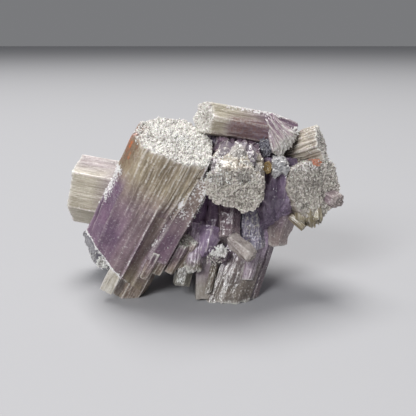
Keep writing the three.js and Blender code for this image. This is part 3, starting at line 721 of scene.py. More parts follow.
beige_finish = aragonite("beige_aragonite", (200, 192, 174), (148, 138, 117), *PURPLE, *WHITE_END,
                         contrast=0.4)
back_left = crystal(
    "back_left_prism", beige_finish, (-28, 6.3, 20.2), (-0.98, 0.16, 0.15),
    column(13.4, 15.6, 38, 25, past=0.2), 301, ((-18, 1), (-9, 0.6), (-5, 0)), rough=(1, 0.5), relief=0.4,
    marks=lambda x, y, w: {
        "frost_and_highlight": between(w, (-14, 0.6), (-9, 0.45), (-5, 0.1)) * between(y, (3, 0), (6, 0.7)),
        "purple": np.maximum(between(w, (-18, 1), (-9, 0.6), (-5, 0)), between(y, (4.8, 0), (6.4, 0.6)))})

grey_finish = clear_aragonite("clear_grey_aragonite", (176, 176, 184), (108, 106, 118), (172, 164, 180),
                              (110, 98, 122), *WHITE_END, clear=0.4, contrast=0.9, sugar_shade_and_glint=0.25)
lower_left = crystal(
    "lower_left_crystal", grey_finish, (-25.5, 7.3, 5.1), (-0.87, 0.1, -0.47),
    column(11.2, 10.4, 15, 17, past=0.2), 311, ((-8, 0.8), (0, 0.2)), slot="clear_aragonite",
    rough=(1, 0.8), relief=0.5, broken=2.0, crust=(0, 0.3),
    cap=facets((0.1, 0, 0), (0.8, 0.3, 1.6), (-0.6, 0.5, 1.4), (0.1, -0.8, 1.8)),
    calm=lambda x, y, w: np.full(x.shape, 0.9),
    marks=lambda x, y, w: {"frost_and_highlight": 0.7 * between(w + noise_at(x, y, w, 1.0, 5), (-1, 0), (0, 1))})

# ---- the lower block -----------------------------------------------------------------------------
# The second foot: a block of twinned columns that ends level on the floor. Smaller columns, some clear
# and some purple, stand against it, and purple crystals fill the hollow above it, between the big prisms.

BLOCK_TIP = (5.1, -7.7, -1.1)
BLOCK_POINTS = (-0.32, -0.33, -0.89)
block_axes = np.stack(axes_of(BLOCK_POINTS))
block_finish = aragonite("lower_block_aragonite", (131, 121, 107), (72, 63, 55), (218, 200, 216),
                         (146, 124, 152), *WHITE_END, gloss=0.14, contrast=0.35, sugar_shade_and_glint=0.4, worn_and_highlight=0.05)
grey_glass_finish = clear_aragonite("grey_column_glass", (156, 152, 139), (82, 78, 67), (160, 146, 160),
                                    (98, 80, 102), *WHITE_END, clear=0.45, contrast=0.9, sugar_shade_and_glint=0.35,
                                    worn_and_highlight=0.6)
glass_finish = clear_aragonite("column_glass", (180, 170, 156), (98, 88, 78), (166, 148, 164),
                               (100, 80, 104), *WHITE_END, clear=0.3, contrast=0.7, sugar_shade_and_glint=0.3, worn_and_highlight=0.2)
purple_finish = aragonite("purple_aragonite", (176, 164, 160), (120, 104, 112), (154, 130, 158),
                          (86, 64, 100), *WHITE_END, gloss=0.2, cloudy=0.2, contrast=0.5, sugar_shade_and_glint=0.2,
                          worn_and_highlight=0.5)
violet_finish = aragonite("violet_aragonite", (184, 166, 182), (126, 108, 128), (162, 142, 168),
                          (104, 82, 114), *WHITE_END, gloss=0.3, cloudy=0.3, contrast=0.5, sugar_shade_and_glint=0.2,
                          worn_and_highlight=1.4)
mauve_finish = aragonite("mauve_brown_aragonite", (160, 144, 140), (100, 86, 86), (136, 116, 128),
                         (76, 60, 74), *WHITE_END, gloss=0.18, contrast=0.5, sugar_shade_and_glint=0.3, worn_and_highlight=0.25)
blue_finish = aragonite("blue_grey_aragonite", (180, 174, 174), (106, 98, 110), (168, 162, 182),
                        (80, 73, 100), *WHITE_END, gloss=0.18, contrast=0.6, sugar_shade_and_glint=0.6, worn_and_highlight=0.5)


def glass_calm(x, y, w):
    """The same smooth skin all over."""
    return np.full(x.shape, 0.95)


def half_calm(x, y, w):
    """The same part-smooth skin all over."""
    return np.full(x.shape, 0.6)


def block_marks(x, y, w):
    """Purple towards the root and down the right side."""
    low = between(w + 2 * noise_at(x, y, w, 2.0, 6), (-14, 1), (-8, 0.2), (-3, 0.05))
    return {"purple": np.maximum(low, between(x, (4.4, 0), (5.0, 0.75)))}


def shelly(x, y, w):
    """Shallow shell-like hollows, and a prism that widens towards its root."""
    hollows = np.abs(noise_at(x, y, w, 2.4, 98)) + 0.4 * np.abs(noise_at(x, y, w, 1.2, 99))
    return between(w, (-6, 0.9), (0, -0.2)) - 0.8 * hollows


def cut_faces(*planes, hollows=0.0):
    """A swell that keeps a prism's side within slanted flat faces: each is the slope of its outward
    direction along x, y and the height, and how far from the middle it stands. hollows is how deep the
    shell-like hollows in them are, in millimetres."""
    def swell(x, y, w):
        far = np.hypot(x, y)
        reach = far
        for nx, ny, nw, out in planes:
            facing = np.maximum((nx * x + ny * y) / far, 0.05)
            reach = np.minimum(reach, np.maximum(out - nw * w, 0.3) / facing)
        shells = np.abs(noise_at(x, y, w, 3.5, 93)) + 0.4 * np.abs(noise_at(x, y, w, 1.6, 94))
        return reach - far - hollows * shells
    return swell


def vein(x, y, w):
    """A wandering white line down the front."""
    off = np.abs(x + 0.2 + 0.6 * noise_at(x, y, w, 1.5, 61))
    return {"frost_and_highlight": 0.5 * between(off, (0.3, 1), (1.3, 0)) * between(w, (-12, 1), (-3, 0.8), (-1, 0))}


crystal("lower_block", block_finish, BLOCK_TIP, BLOCK_POINTS, [
    ([(-2.9, 5.4), (-1, 6.4), (2, 6.8), (4.4, 5.8), (6.2, 1.6), (6.4, -3), (4, -6), (-4, -6.4), (-5, 0)],
     -36, 0.8),
], 401, ((0, 0), (1, 0)), broken=2.2, relief=0.75, calm=half_calm, level="outer", marks=block_marks)
plain_column = dict(calm=half_calm, crust=(0, 0.3), broken=2.0)
level_column = dict(calm=half_calm, broken=1.6, level="outer")
violet_crystal = dict(calm=glass_calm, crust=(0, 0.1), rough=(0.4, 1.0), swell=shelly)
for number, (name, finish, tip, points, outline, cap, purple, options) in enumerate((
    ("block_left_column", grey_glass_finish, (-4.1, -11.2, 3.0), (-0.22, -0.30, -0.93),
     column(3.8, 3.6, 15, 7.5), facets((0.1, 0.1, 0), (-0.9, 0, 1.2)), ((-5, 0.3), (-2, 0)), plain_column),
    ("block_square_column", clear_finish, (0.5, -11.2, 0.15), (-0.02, -0.28, -0.96),
     column(4.4, 4.2, 40, 11, 4), facets((0.05, 0, 0)), ((-5, 0.7), (-2, 0.2)), plain_column),
    ("block_pale_blade", block_finish, (1.6, -13.1, 2.2), (-0.24, -0.41, -0.88), column(1.5, 1.6, 20, 6),
     facets((0.6, 0, 0)), ((-5, 0), (0, 0)), dict(crust=(0, 1), relief=1.0)),
    ("block_mauve_column", block_finish, (-1.6, -12.4, 6.6), (-0.09, -0.36, -0.93), column(3.8, 3.2, 0, 10),
     facets((0.3, 0, 0), (-0.6, 0.4, 0.4)), ((-6, 1), (-3, 0.7), (-1, 0)),
     dict(broken=2.5, crust=(0, 1), rough=(0.4, 1.6), relief=1.0)),
    ("bright_purple_crystal", violet_finish, (0.9, -11.8, 9.9), (-0.2, -0.42, -0.89),
     column(4.4, 3.6, 15, 6.0, 5), facets((0.9, 0.3, -0.2), (-0.6, 0.2, 0.3)), ((-6, 0.9), (-2, 0.8)),
     violet_crystal | dict(crust=(0, 0), rough=(0.4, 1.4))),
    ("violet_side_crystal", violet_finish, (2.9, -11.3, 10.4), (0.25, -0.5, -0.84),
     column(3.2, 3.0, 10, 6.5, 5), facets((-0.9, 0.3, 0)), ((-6, 1), (-2, 0.8)), violet_crystal),
    ("violet_edge", violet_finish, (-1.3, -11.0, 10.8), (-0.35, -0.4, -0.85), column(2.4, 2.2, 30, 6.0, 4),
     facets((0.9, 0.3, 0)), ((-6, 1), (-2, 0.9)), violet_crystal),
    ("purple_crystal_1", purple_finish, (-0.9, -9.4, 13.6), (-0.14, -0.5, -0.86), column(3.6, 3.6, 25, 11),
     facets((0, 0.3, 0), (0.8, 0, 0.8), (-0.6, 0.2, 0.8)), ((-6, 1), (-2, 0.9)),
     dict(calm=glass_calm, crust=(0, 0), swell=cut_faces((-0.5, 0.8, -0.15, 2.0), (0.7, 0.7, 0.1, 1.6),
                                                         hollows=0.4))),
    ("purple_crystal_2", purple_finish, (2.2, -9.4, 14.6), (-0.16, -0.5, -0.86), column(3.4, 3.4, 5, 10),
     facets((0.5, 0.3, 0.3), (-0.7, 0.2, 0.6)), ((-6, 1), (-1, 0.7)),
     dict(calm=glass_calm, crust=(0, 0.2), swell=cut_faces((0.4, 0.85, -0.12, 1.8), (-0.8, 0.5, 0.1, 1.4),
                                                           hollows=0.4))),
    ("purple_crystal_3", mauve_finish, (5.8, -10.4, 12.8), (-0.03, -0.41, -0.91), column(5.4, 4.6, 12, 10),
     facets((0, 0.3, 0), (0.8, 0, 1.0)), ((-8, 1), (-5, 0.8), (-1, 0.5)),
     dict(calm=half_calm, broken=2.0, crust=(0, 0.2), swell=cut_faces(
         (-0.4, 0.85, -0.12, 2.4), (0.6, 0.75, 0.1, 1.8), hollows=0.5))),
    ("purple_crystal_4", purple_finish, (-2.6, -7.6, 15.5), (-0.2, -0.4, -0.9), column(4.6, 4.4, 18, 10),
     facets((0.3, 0.3, 0)), ((-8, 1), (-1, 0.9)),
     dict(calm=half_calm, crust=(0, 0), swell=cut_faces((0.2, 0.9, -0.15, 2.2), hollows=0.5))),
    ("blue_grey_crystal", blue_finish, (10.8, -9.2, 9.6), (-0.06, -0.24, -0.97), column(6.4, 5.4, 20, 12),
     facets((0.6, 0.2, 0.2), (-0.5, 0.2, 0.4)), ((-12, 1), (-1, 0.9)),
     dict(broken=3.0, crust=(0, 0.3), relief=0.9, marks=vein,
          swell=cut_faces((0.8, 0.55, -0.1, 2.6), (-0.7, 0.7, 0, 2.2)))),
    ("block_front_column_1", block_finish, BLOCK_TIP + (-2.6, 4.2, 0) @ block_axes, BLOCK_POINTS,
     column(3.0, 3.0, 15, 12), None, ((-9, 0.8), (-5, 0.1)), level_column),
    ("block_front_column_2", block_finish, BLOCK_TIP + (0.4, 4.8, 0) @ block_axes, BLOCK_POINTS,
     column(3.8, 3.2, 5, 14), None, ((-9, 0.8), (-5, 0.1)), level_column),
    ("block_front_column_3", block_finish, BLOCK_TIP + (3.0, 4.5, 0) @ block_axes, BLOCK_POINTS,
     column(3.4, 3.2, 25, 13), None, ((-9, 0.8), (-5, 0.3)), level_column),
    ("block_front_column_4", mauve_finish, BLOCK_TIP + (4.8, 3.1, -1.6) @ block_axes, BLOCK_POINTS,
     column(3.0, 3.0, 10, 12), facets((0.3, 0, 0)), ((-9, 1), (-3, 0.5)), dict(broken=1.6, calm=half_calm)),
    ("block_druse_bed", block_finish, (3.5, -12.2, 10.3), (-0.1, -0.97, 0.2), column(5.0, 4.2, 15, 5),
     facets((0.3, 0.2, 0), (-0.4, 0.3, 0.3)), ((-5, 0.6), (0, 0.5)),
     dict(crust=(0, 0.15), rough=(0.4, 1.8))),
    ("block_right_column", block_finish, (9.6, -12.1, 4.6), (-0.26, -0.31, -0.91), column(2.7, 2.4, 10, 6),
     facets((0.2, 0.1, 0)), ((-5, 0.6), (0, 0.5)), dict(broken=2.0, crust=(0, 0.7))),
    ("pale_block_crystal", glass_finish, (-5.5, -12.6, 9.4), (-0.45, -0.7, -0.55),
     column(2.2, 2.2, 40, 4, 4), None, ((-5, 0), (0, 0)), dict(calm=glass_calm, crust=(0, 0.2))),
)):
    settings = dict(rough=(0.4, 0.4), relief=0.6) | options
    crystal(name, finish, tip, points, outline, 420 + 11 * number, purple, cap=cap, pitch=0.12, **settings)

# ---- the front crystal ---------------------------------------------------------------------------
# It points straight forward: a pitted end, and above it a lumpy top where seven columns stand broken off.
# Behind it stands a dark purple piece with parallel grooves.

FRONT_TIP = (6.5, -18.7, 24.9)
FRONT_POINTS = (-0.05, -0.91, -0.41)
front_axes = np.stack(axes_of(FRONT_POINTS))
right_finish = aragonite("right_aragonite", (190, 182, 168), (132, 120, 106), *PURPLE, *CREAM_END,
                         sugar_shade_and_glint=0.25)
top_finish = clear_aragonite("broken_clear_aragonite", (228, 223, 216), (108, 101, 96), (132, 112, 140),
                             (68, 54, 80), *WHITE_END, clear=0.2, rough=0.1, contrast=1.0, sugar_shade_and_glint=0.35,
                             worn_and_highlight=2.4)
grooved_finish = aragonite("dark_grooved_aragonite", (150, 142, 150), (80, 70, 84), (116, 98, 126),
                           (58, 46, 72), *WHITE_END, gloss=0.2, contrast=0.5, worn_and_highlight=0.4)


def front_top(x, y, w):
    """1 on the lumpy top of the front crystal, 0 on its fluted sides."""
    return between(y, (0.5, 0), (2.5, 1)) * (w < -0.2)


def front_swell(x, y, w):
    """Blocks that stand at different heights on the top, with smaller ones on them and crevices between,
    and the whole sinks towards the back."""
    jitter = noise_at(x, y, w, 1.2, 79)
    value, border = plates(x + 40 + 0.7 * jitter, 0.45 * w + 40, 2.9, 76)
    small = plates(x + 40 + 0.4 * jitter, 0.7 * w + 40, 1.3, 77)[0]
    blocks = 1.1 * (value - 0.6) - 0.5 * (1 - border) ** 4 + 0.35 * (small - 0.5)
    blocks = blocks + 0.5 * noise_at(x, y, w, 2.2, 81)
    return front_top(x, y, w) * (blocks + 0.15 * jitter + between(w, (-9, -1.0), (-5, 0.1)))


def front_marks(x, y, w):
    """Frost on the top, more of it towards the left."""
    share = 0.1 + 0.6 * between(x, (-2.5, 1), (-0.5, 0)) + 0.3 * noise_at(x, y, w, 1.5, 80)
    return {"frost_and_highlight": front_top(x, y, w) * between(w, (-8, 0), (-6, 1)) * share}


front_crystal = crystal("front_crystal", right_finish, FRONT_TIP, FRONT_POINTS, [
    ([(-5.6, 1.5), (-5.2, -0.6), (-4.2, -2.4), (-1.1, -3.9), (1.9, -5.3), (4.4, -4.4), (6.0, -1.6),
      (5.8, 3.6), (3.2, 5.0), (0, 5.4), (-3.6, 5.2), (-5.2, 3.6)], -19, 0),
], 501, ((-19, 1), (-9, 0.9), (-6.0, 0)), grain=0.8, rough=(1, 1.3), calm=front_top, swell=front_swell,
    marks=front_marks, pitch=0.15)
for number, (x, y, w, wide, deep, lean, behind) in enumerate((
    (-1.9, 4.4, -1.0, 3.6, 3.8, -0.12, 0.0),
    (2.3, 4.2, -0.2, 4.6, 4.0, 0.1, 0.0),
    (4.7, 3.2, -1.4, 3.0, 3.2, 0.25, 0.15),
    (0.6, 5.4, -2.8, 4.6, 3.6, -0.1, 0.1),
    (-3.6, 4.1, -2.2, 3.0, 3.0, -0.2, 0.6),
    (3.6, 4.9, -3.2, 3.2, 3.0, 0.15, 0.7),
    (-2.0, 5.2, -3.8, 3.4, 3.0, -0.1, 0.6),
)):
    crystal(f"broken_column_{number + 1}", top_finish, np.array(FRONT_TIP) + (x, y, w) @ front_axes,
            (lean, 0.16, 0.98) @ front_axes, column(wide, deep, 20 + 11 * number, 6.5), 530 + 7 * number,
            ((-6.5, 1), (-5.0, 0.8), (-3.0, behind), (0, behind)), calm=glass_calm, rough=(0.4, 1.0),
            crust=(0, 0.1), cap=facets((0.1, 1.1, 0), (0.9, 0.7, 0.3), (-0.8, 1.2, 0.4), (0.1, -0.5, 1.2)),
            swell=cut_faces((0.75, 0.7, 0.1, wide * 0.4), (-0.6, 0.8, 0.15, wide * 0.44), hollows=0.8),
            pitch=0.12)
crystal("grooved_piece", grooved_finish, (5.4, -4.9, 33.6), (0.40, 0.35, 0.85),
        column(7.8, 7.0, 8, 10, past=-0.2), 511, ((-10, 1), (6, 1)), relief=1.8)

# ---- the top prism and the fan at its end --------------------------------------------------------
# A cream prism that lies on top and points left. Its inner end is purple and brown, and splays into a fan
# of white and violet blades that runs down to the right, with a pale purple mass behind it.


def top_marks(x, y, w):
    """A brown stain on the front, frost along the top and in stripes, and purple from the inner end
    outward, farther along the front than along the top."""
    streaks = 1.8 * noise_at(x, y, 0.1 * w, 0.9, 21)
    stain = between(w, (-16, 0), (-13, 0.7), (-5.5, 0.74), (-2, 0)) * between(y, (1.2, 1), (2.4, 0))
    along_top = 0.85 * between(w, (-18, 1), (-4, 0.8), (-2, 0)) * between(y, (2.2, 0), (3.0, 1))
    stripes = between(noise_at(x * 2, y * 2, w * 0.15, 1, 19), (0.1, 0), (0.4, 1))
    front_purple = between(w + streaks, (-14, 1), (-10, 0.75), (-5.5, 0.6), (-3.5, 0))
    top_purple = between(w + streaks, (-13, 0.9), (-6, 0))
    on_top = between(y, (0.6, 0), (2.6, 1))
    return {"rust": stain, "frost_and_highlight": np.maximum(along_top, 0.5 * between(w, (-13, 1), (-9, 0)) * stripes),
            "purple": (1 - on_top) * front_purple + on_top * top_purple}


def blade_marks(x, y, w):
    """White stripes, more of them towards the tip."""
    stripes = between(noise_at(x * 3, y * 3, w * 0.15, 1, 9), (0.0, 0), (0.4, 1))
    return {"frost_and_highlight": between(w, (-6, 0.35), (-1, 0.8)) * stripes}


top_prism = crystal(
    "top_prism", beige_finish, (0.9, -8.7, 37.9), (-0.96, -0.2, 0.19),
    [(hexagon(0, 0.1, 7.0, 7.2, 12), -19.2, 0.2)], 601, ((-17, 1), (-9, 0.9), (-5.5, 0.5), (-3.5, 0)),
    slot="cream_aragonite", slope=(0.4, 0), swell=lambda x, y, w: -between(w, (-19, 1.0), (-14, 0)),
    relief=0.8, marks=top_marks)
fan_finish = aragonite("fan_aragonite", (196, 182, 182), (120, 102, 106), (170, 146, 160), (96, 74, 92),
                       *WHITE_END, contrast=0.9, gloss=0.18, worn_and_highlight=0.8)
BLADES = 16
draw = np.random.default_rng(62)
for number in range(BLADES):
    down = number / (BLADES - 1) + draw.uniform(-0.03, 0.03)
    angle = np.radians(-35 - 40 * down + draw.uniform(-4, 4))
    tip = (19.4 - 3.4 * down + draw.uniform(-0.7, 0.3),
           -8.9 - 1.2 * abs(down) ** 0.6 + draw.uniform(-0.2, 0.4),
           34.0 - 3.4 * down + draw.uniform(-0.3, 0.3))
    blade = column(draw.uniform(1.4, 2.2), draw.uniform(1.4, 2.0), 20 + 40 * down,
                   7.0 - draw.uniform(0, 2.4))
    crystal(f"fan_blade_{number + 1}", fan_finish, tip, (np.cos(angle), -0.27, np.sin(angle)), blade,
            620 + 9 * number, ((-7, 0.95), (-3, 0.7), (0, 0.1)), relief=1.2, broken=1.2, pitch=0.12,
            cap=facets((0.3, 0.8, 0), (-0.9, -0.3, 0.4)), rough=(0.5, 1.4), crust=(0, 0.8),
            marks=blade_marks)
crystal("upper_back_mass", purple_finish, (18.8, -1.7, 31.4), (0.83, -0.03, -0.55),
        column(5.6, 5.6, 20, 4.6), 690, ((-9, 0.8), (0, 0.4)))

# ---- the right side ------------------------------------------------------------------------------
# The right crystal points forward and right, with flow lines that spread over its end and a bump on its
# edge. A ribbed crystal widens out above it, and a few small yellowish columns hang below.

flow_finish = aragonite("flow_lined_aragonite", (180, 170, 156), (116, 104, 92), *PURPLE, (192, 185, 176),
                        (100, 94, 88), sugar_shade_and_glint=0.25)
yellow_finish = clear_aragonite("yellowish_aragonite", (186, 174, 142), (116, 102, 74), (180, 160, 170),
                                (150, 128, 150), *CREAM_END, clear=0.3)
upper_finish = aragonite("upper_right_aragonite", (206, 196, 182), (136, 124, 110), *PURPLE, *WHITE_END,
                         sugar_shade_and_glint=0.25)


def right_crust(x, y, w):
    """White druse and a rust stain on the upper part of the end."""
    patch = noise_at(x, y, w, 1.6, 15)
    stain = (2.6 + 2.0 * patch) * np.exp(-((x - 0.6) ** 2 / 1.3 + (y - 5.9) ** 2 / 0.6)) * (w > -2.5)
    return {"frost_and_highlight": between(y + patch, (3.6, 0), (5.4, 0.7)) * (w > -3), "rust": stain}


right_crystal = crystal("right_crystal", flow_finish, (23.8, -10.7, 23.3), (0.45, -0.88, 0.12), [
    ([(-7.0, 1.3), (-6.3, 4.9), (-0.2, 6.4), (4.3, 5.6), (5.2, 3.1), (5.9, 0), (4.9, -3.2), (1.8, -5.6),
      (-0.5, -6.3), (-2.6, -5.5), (-5.4, -2.5)][::-1], -14, 0),
    ([(4.6, -0.6), (7.2, -2.2), (6.2, -3.9), (3.6, -3.9), (3.4, -1)][::-1], -12, -0.8),
], 701, ((-14, 1), (-7, 0)), grain=0.9, fan=(0.8, -6), marks=right_crust, pitch=0.15)
crystal("right_bump", right_finish, (28.6, -10.3, 20.9), (0.62, -0.74, -0.2), column(4.4, 3.6, 20, 6),
        705, ((-6, 0.9), (0, 0.5)), calm=half_calm, rough=(0.5, 1.0), crust=(0, 0.3), pitch=0.11,
        cap=facets((0, 0, 0), (0.8, 0, 0.8), (-0.8, 0, 0.8), (0, 0.8, 0.7), (0, -0.8, 0.7)))
crystal("right_lower_column_1", yellow_finish, (21.4, -11.7, 15.7), (0.70, -0.43, -0.57),
        column(1.7, 1.7, 0, 4), 711, ((-5, 0.3), (0, 0)), calm=half_calm, rough=(0.4, 0.5), crust=(0, 0.2),
        pitch=0.11)
crystal("right_lower_column_2", yellow_finish, (21.6, -11.6, 16.9), (-0.03, -0.44, -0.9),
        column(4.4, 3.0, 15, 5), 721, ((-5, 0.1), (0, 0)), rough=(0.6, 1.8), crust=(0, 0.3), broken=1.5,
        pitch=0.11, cap=facets((-0.3, 0, 0)))
crystal("right_lower_column_3", yellow_finish, (24.0, -11.6, 16.8), (0.1, -0.5, -0.86),
        column(2.6, 2.6, 15, 5), 727, ((-5, 0.1), (0, 0)), rough=(0.6, 1.8), crust=(0, 0.5), broken=1.5,
        pitch=0.11)
upper_right = crystal(
    "upper_right_prism", upper_finish, (24.9, -6.4, 32.3), (0.78, -0.5, 0.36),
    column(9.0, 8.6, 0, 13, past=0.2), 731, ((-14, 0.5), (-9, 0.1), (-8, 0)), slot="beige_aragonite",
    swell=lambda x, y, w: -between(w, (-13, 2.4), (-9, 1.6), (-3, 0)), slope=(0.3, 0), crust=(0, 0.9),
    relief=1.5, pitch=0.15)

# ---- the inner prism -----------------------------------------------------------------------------
# Between the front and the right crystals: a dark purple crystal with shell-like broken faces, its
# shoulder, and below them a paler prism that ends in the open.

deep_finish = aragonite("deep_purple_aragonite", (150, 134, 150), (84, 70, 90), (150, 132, 156),
                        (66, 50, 76), *WHITE_END, gloss=0.16, cloudy=0.25, contrast=0.7, sugar_shade_and_glint=0.15,
                        worn_and_highlight=0.3)


def inner_swell(x, y, w):
    """A prism that widens towards its root, with shell-like hollows."""
    return between(w, (-9, 2.2), (-4, 0.2), (-2, -0.5)) - 0.5 * np.abs(noise_at(x, y, w, 2.6, 97))


crystal("inner_purple_crystal", deep_finish, (15.6, -10.2, 17.4), (0.0, -0.1, -0.99),
        column(9.4, 8.6, 10, 12.5), 801, ((-10, 1), (-1, 0.9)), calm=glass_calm,
        cap=facets((0.1, 1.2, 0.6), (0.6, 0.3, 0.8)), crust=(0, 0),
        swell=cut_faces((-0.45, 0.85, -0.28, 4.8), (0.80, 0.55, 0.12, 3.2), (0.1, 0.85, 0.5, 2.6),
                        (-0.9, 0.4, 0.1, 3.4), hollows=1.3), rough=(0.4, 1.0), pitch=0.14)
crystal("inner_shoulder", purple_finish, (18.8, -7.8, 15.6), (0.1, -0.2, -0.97), column(5.4, 5.4, 20, 10),
        811, ((-10, 1), (-1, 0.6)), calm=half_calm, cap=facets((0.3, 0.3, 0), (-0.6, 0.2, 0.8)),
        crust=(0, 0), swell=cut_faces((-0.6, 0.7, -0.2, 2.4), (0.7, 0.6, 0.2, 1.8), hollows=0.6),
        rough=(0.4, 0.4), pitch=0.14)
crystal("inner_prism", mauve_finish, (16.0, -7.6, 10.8), (-0.12, -0.14, -0.98),
        column(6.0, 5.6, 20, 14, past=0.2), 821, ((-9, 1), (-6.5, 0.8), (-4, 0.2), (-3, 0)), calm=half_calm,
        swell=inner_swell, cap=facets((0.2, 0.1, 0), (-0.9, 0, 1.2)), rough=(0.4, 0.5), crust=(0, 0.3),
        pitch=0.13)

# ---- the small front crystals --------------------------------------------------------------------
# Clear, amber and beige crystals of a few millimetres that grew last, on top of the others. Four smaller
# ones stand round the glassy one.

small_finish = clear_aragonite("small_clear_aragonite", (226, 216, 209), (150, 137, 130), (196, 180, 192),
                               (130, 110, 130), *WHITE_END, clear=0.2, contrast=1.0, sugar_shade_and_glint=0.45, worn_and_highlight=3.0)
pale_grey_finish = clear_aragonite("pale_grey_aragonite", (230, 230, 232), (150, 148, 154), (186, 178, 194),
                                   (120, 108, 132), *WHITE_END, clear=0.3, contrast=1.0, sugar_shade_and_glint=0.3,
                                   worn_and_highlight=2.4)
amber_finish = clear_aragonite("amber_aragonite", (226, 196, 132), (150, 112, 60), (200, 170, 120),
                               (150, 110, 70), (220, 200, 150), (150, 120, 70), clear=0.4)
crystal("tabular_crystal", small_finish, (10.6, -16.6, 11.2), (0.72, -0.52, -0.45),
        column(4.2, 4.2, 20, 5.8), 901, ((-7, 0.2), (0, 0)), slot="cream_aragonite", relief=0.5,
        calm=glass_calm, swell=cut_faces((-0.8, 0.5, 0.15, 1.8), (-0.85, -0.5, -0.1, 1.9),
                                         (0.1, 0.95, 0.2, 1.7), hollows=0.55),
        cap=facets((0, 0, 0), (0.9, 0.5, 0.9), (-0.9, 0.3, 0.9), (0.2, -0.9, 0.9), (0, 0.9, 0.9)),
        rough=(1, 0.5), crust=(0, 0.1), pitch=0.11)
crystal("glassy_crystal", pale_grey_finish, (15.9, -14.0, 28.9), (-0.06, -1, 0.05), column(4.3, 4.3, 10, 8),
        911, ((-7, 0), (0, 0)), slot="clear_aragonite", relief=0.4, calm=glass_calm,
        cap=facets((0.1, 0.4, 0), (0.9, 0.4, 0.3), (-0.8, -0.5, 0.5), (0, -1, 0.6)), rough=(1, 0.9),
        crust=(0, 0.1), swell=cut_faces((0.7, 0.7, 0.3, 1.4), (-0.9, 0.2, 0.3, 1.5), hollows=0.5),
        pitch=0.11, marks=lambda x, y, w: {"frost_and_highlight": 0.9 * between(x, (0.5, 0), (1.4, 1)) * (w > -2)})
for number, (tip, points, wide) in enumerate((
    ((17.4, -13.6, 28.0), (0.5, -0.8, -0.2), 2.2),
    ((16.8, -13.4, 30.2), (0.4, -0.7, 0.6), 2.0),
    ((15.2, -13.4, 27.2), (-0.1, -0.8, -0.6), 2.2),
    ((14.9, -12.8, 30.2), (-0.3, -0.8, 0.5), 1.8),
)):
    crystal(f"glassy_side_crystal_{number + 1}", pale_grey_finish, tip, points, column(wide, wide, 15, 4),
            960 + 7 * number, ((-7, 0), (0, 0)), relief=0.4, calm=glass_calm, rough=(1, 0.5),
            crust=(0, 0.3), cap=facets((0.2, 0.2, 0), (0.9, -0.3, 0.3), (-0.8, 0.3, 0.4)), pitch=0.1,
            marks=lambda x, y, w: {"frost_and_highlight": 0.7 * between(x, (-0.2, 0), (0.5, 1)) * (w > -1.5)})
crystal("amber_crystal", amber_finish, (13.5, -12.9, 28.6), (-0.1, -0.98, 0.15), column(1.9, 2.8, 15, 6),
        921, ((-7, 0), (0, 0)), slot="amber_aragonite", relief=0.4, calm=glass_calm,
        cap=facets((0.2, 0.2, 0)), rough=(1, 0.4), crust=(0, 0.2), pitch=0.1)
crystal("square_crystal", small_finish, (-5.3, -10.7, 10.3), (-0.21, -0.93, -0.3),
        column(3.4, 2.6, 0, 6, 4), 931, ((-7, 0), (0, 0)), slot="beige_aragonite", relief=0.4,
        calm=glass_calm, rough=(1, 0.4), crust=(0, 0.2), pitch=0.1)
crystal("knob_crystal", beige_finish, (-3.3, -11.6, 12.8), (-0.35, -0.9, 0.2), column(3, 2.8, 0, 6),
        941, ((-7, 0), (0, 0)), slot="cream_aragonite", relief=0.5, pitch=0.12,
        cap=facets((0, 0, 0), (0.6, 0, 0.5), (-0.6, 0, 0.5), (0, 0.6, 0.5), (0, -0.6, 0.5)))

# ---- the back ------------------------------------------------------------------------------------
# Five more prisms of the same kind that point back, up and down. The last two are the third foot and its
# heel.

for number, (name, tip, points, outline, finish) in enumerate((
    ("back_prism", (-2.4, 19.3, 20), (-0.2, 0.95, 0.1), column(12.8, 12.4, 5, 24, past=0.2), left_finish),
    ("back_right_prism", (12.6, 15.3, 25.5), (0.42, 0.8, 0.25), column(9.2, 8.8, 0, 20, past=0.2),
     beige_finish),
    ("back_upper_prism", (-8, 9, 29), (-0.5, 0.6, 0.62), column(9.6, 9, 18, 19, past=0.2), left_finish),
    ("back_foot", (7.6, 10.2, -1), (0.15, 0.42, -0.9), column(8.8, 9.2, 0, 20, past=0.2), right_finish),
    ("back_heel", (-6, 12, 1.4), (-0.1, 0.3, -0.95), column(9.4, 9.0, 10, 16, past=0.2), left_finish),
)):
    crystal(name, finish, tip, points, outline, 200 + 13 * number, ((-20, 1), (-9, 0.8), (-5, 0)),
            level="outer" if name == "back_foot" else "", pitch=0.22)

# ---- the druse -----------------------------------------------------------------------------------
# Tiny pointed white and grey crystals that grew last as a crust on edges, ends and in hollows of the big
# ones.

DRUSE_WHITE = ((236, 234, 232), (196, 190, 190))
DRUSE_GREY = ((206, 198, 190), (150, 140, 134))
DRUSE_BLUE = ((150, 148, 158), (90, 86, 100))
druse_finish = aragonite("white_druse", *DRUSE_WHITE * 2, (240, 238, 236), (184, 178, 174), gloss=0.15,
                         cloudy=0.3)
grey_druse_finish = aragonite("grey_druse", *DRUSE_GREY * 2, (206, 199, 192), (132, 124, 118), gloss=0.2,
                              cloudy=0.3)
blue_druse_finish = aragonite("blue_grey_druse", *DRUSE_BLUE * 2, (150, 148, 160), (72, 68, 84), gloss=0.15,
                              cloudy=0.3)


DRUSE_WIDTH = 0.26
DRUSE_ROOT = 0.35
DRUSE_SHAFT = 0.85
DRUSE_POINT = 1.25


def unit(ways):
    """These directions, each of length one."""
    return ways / np.linalg.norm(ways, axis=1, keepdims=True)


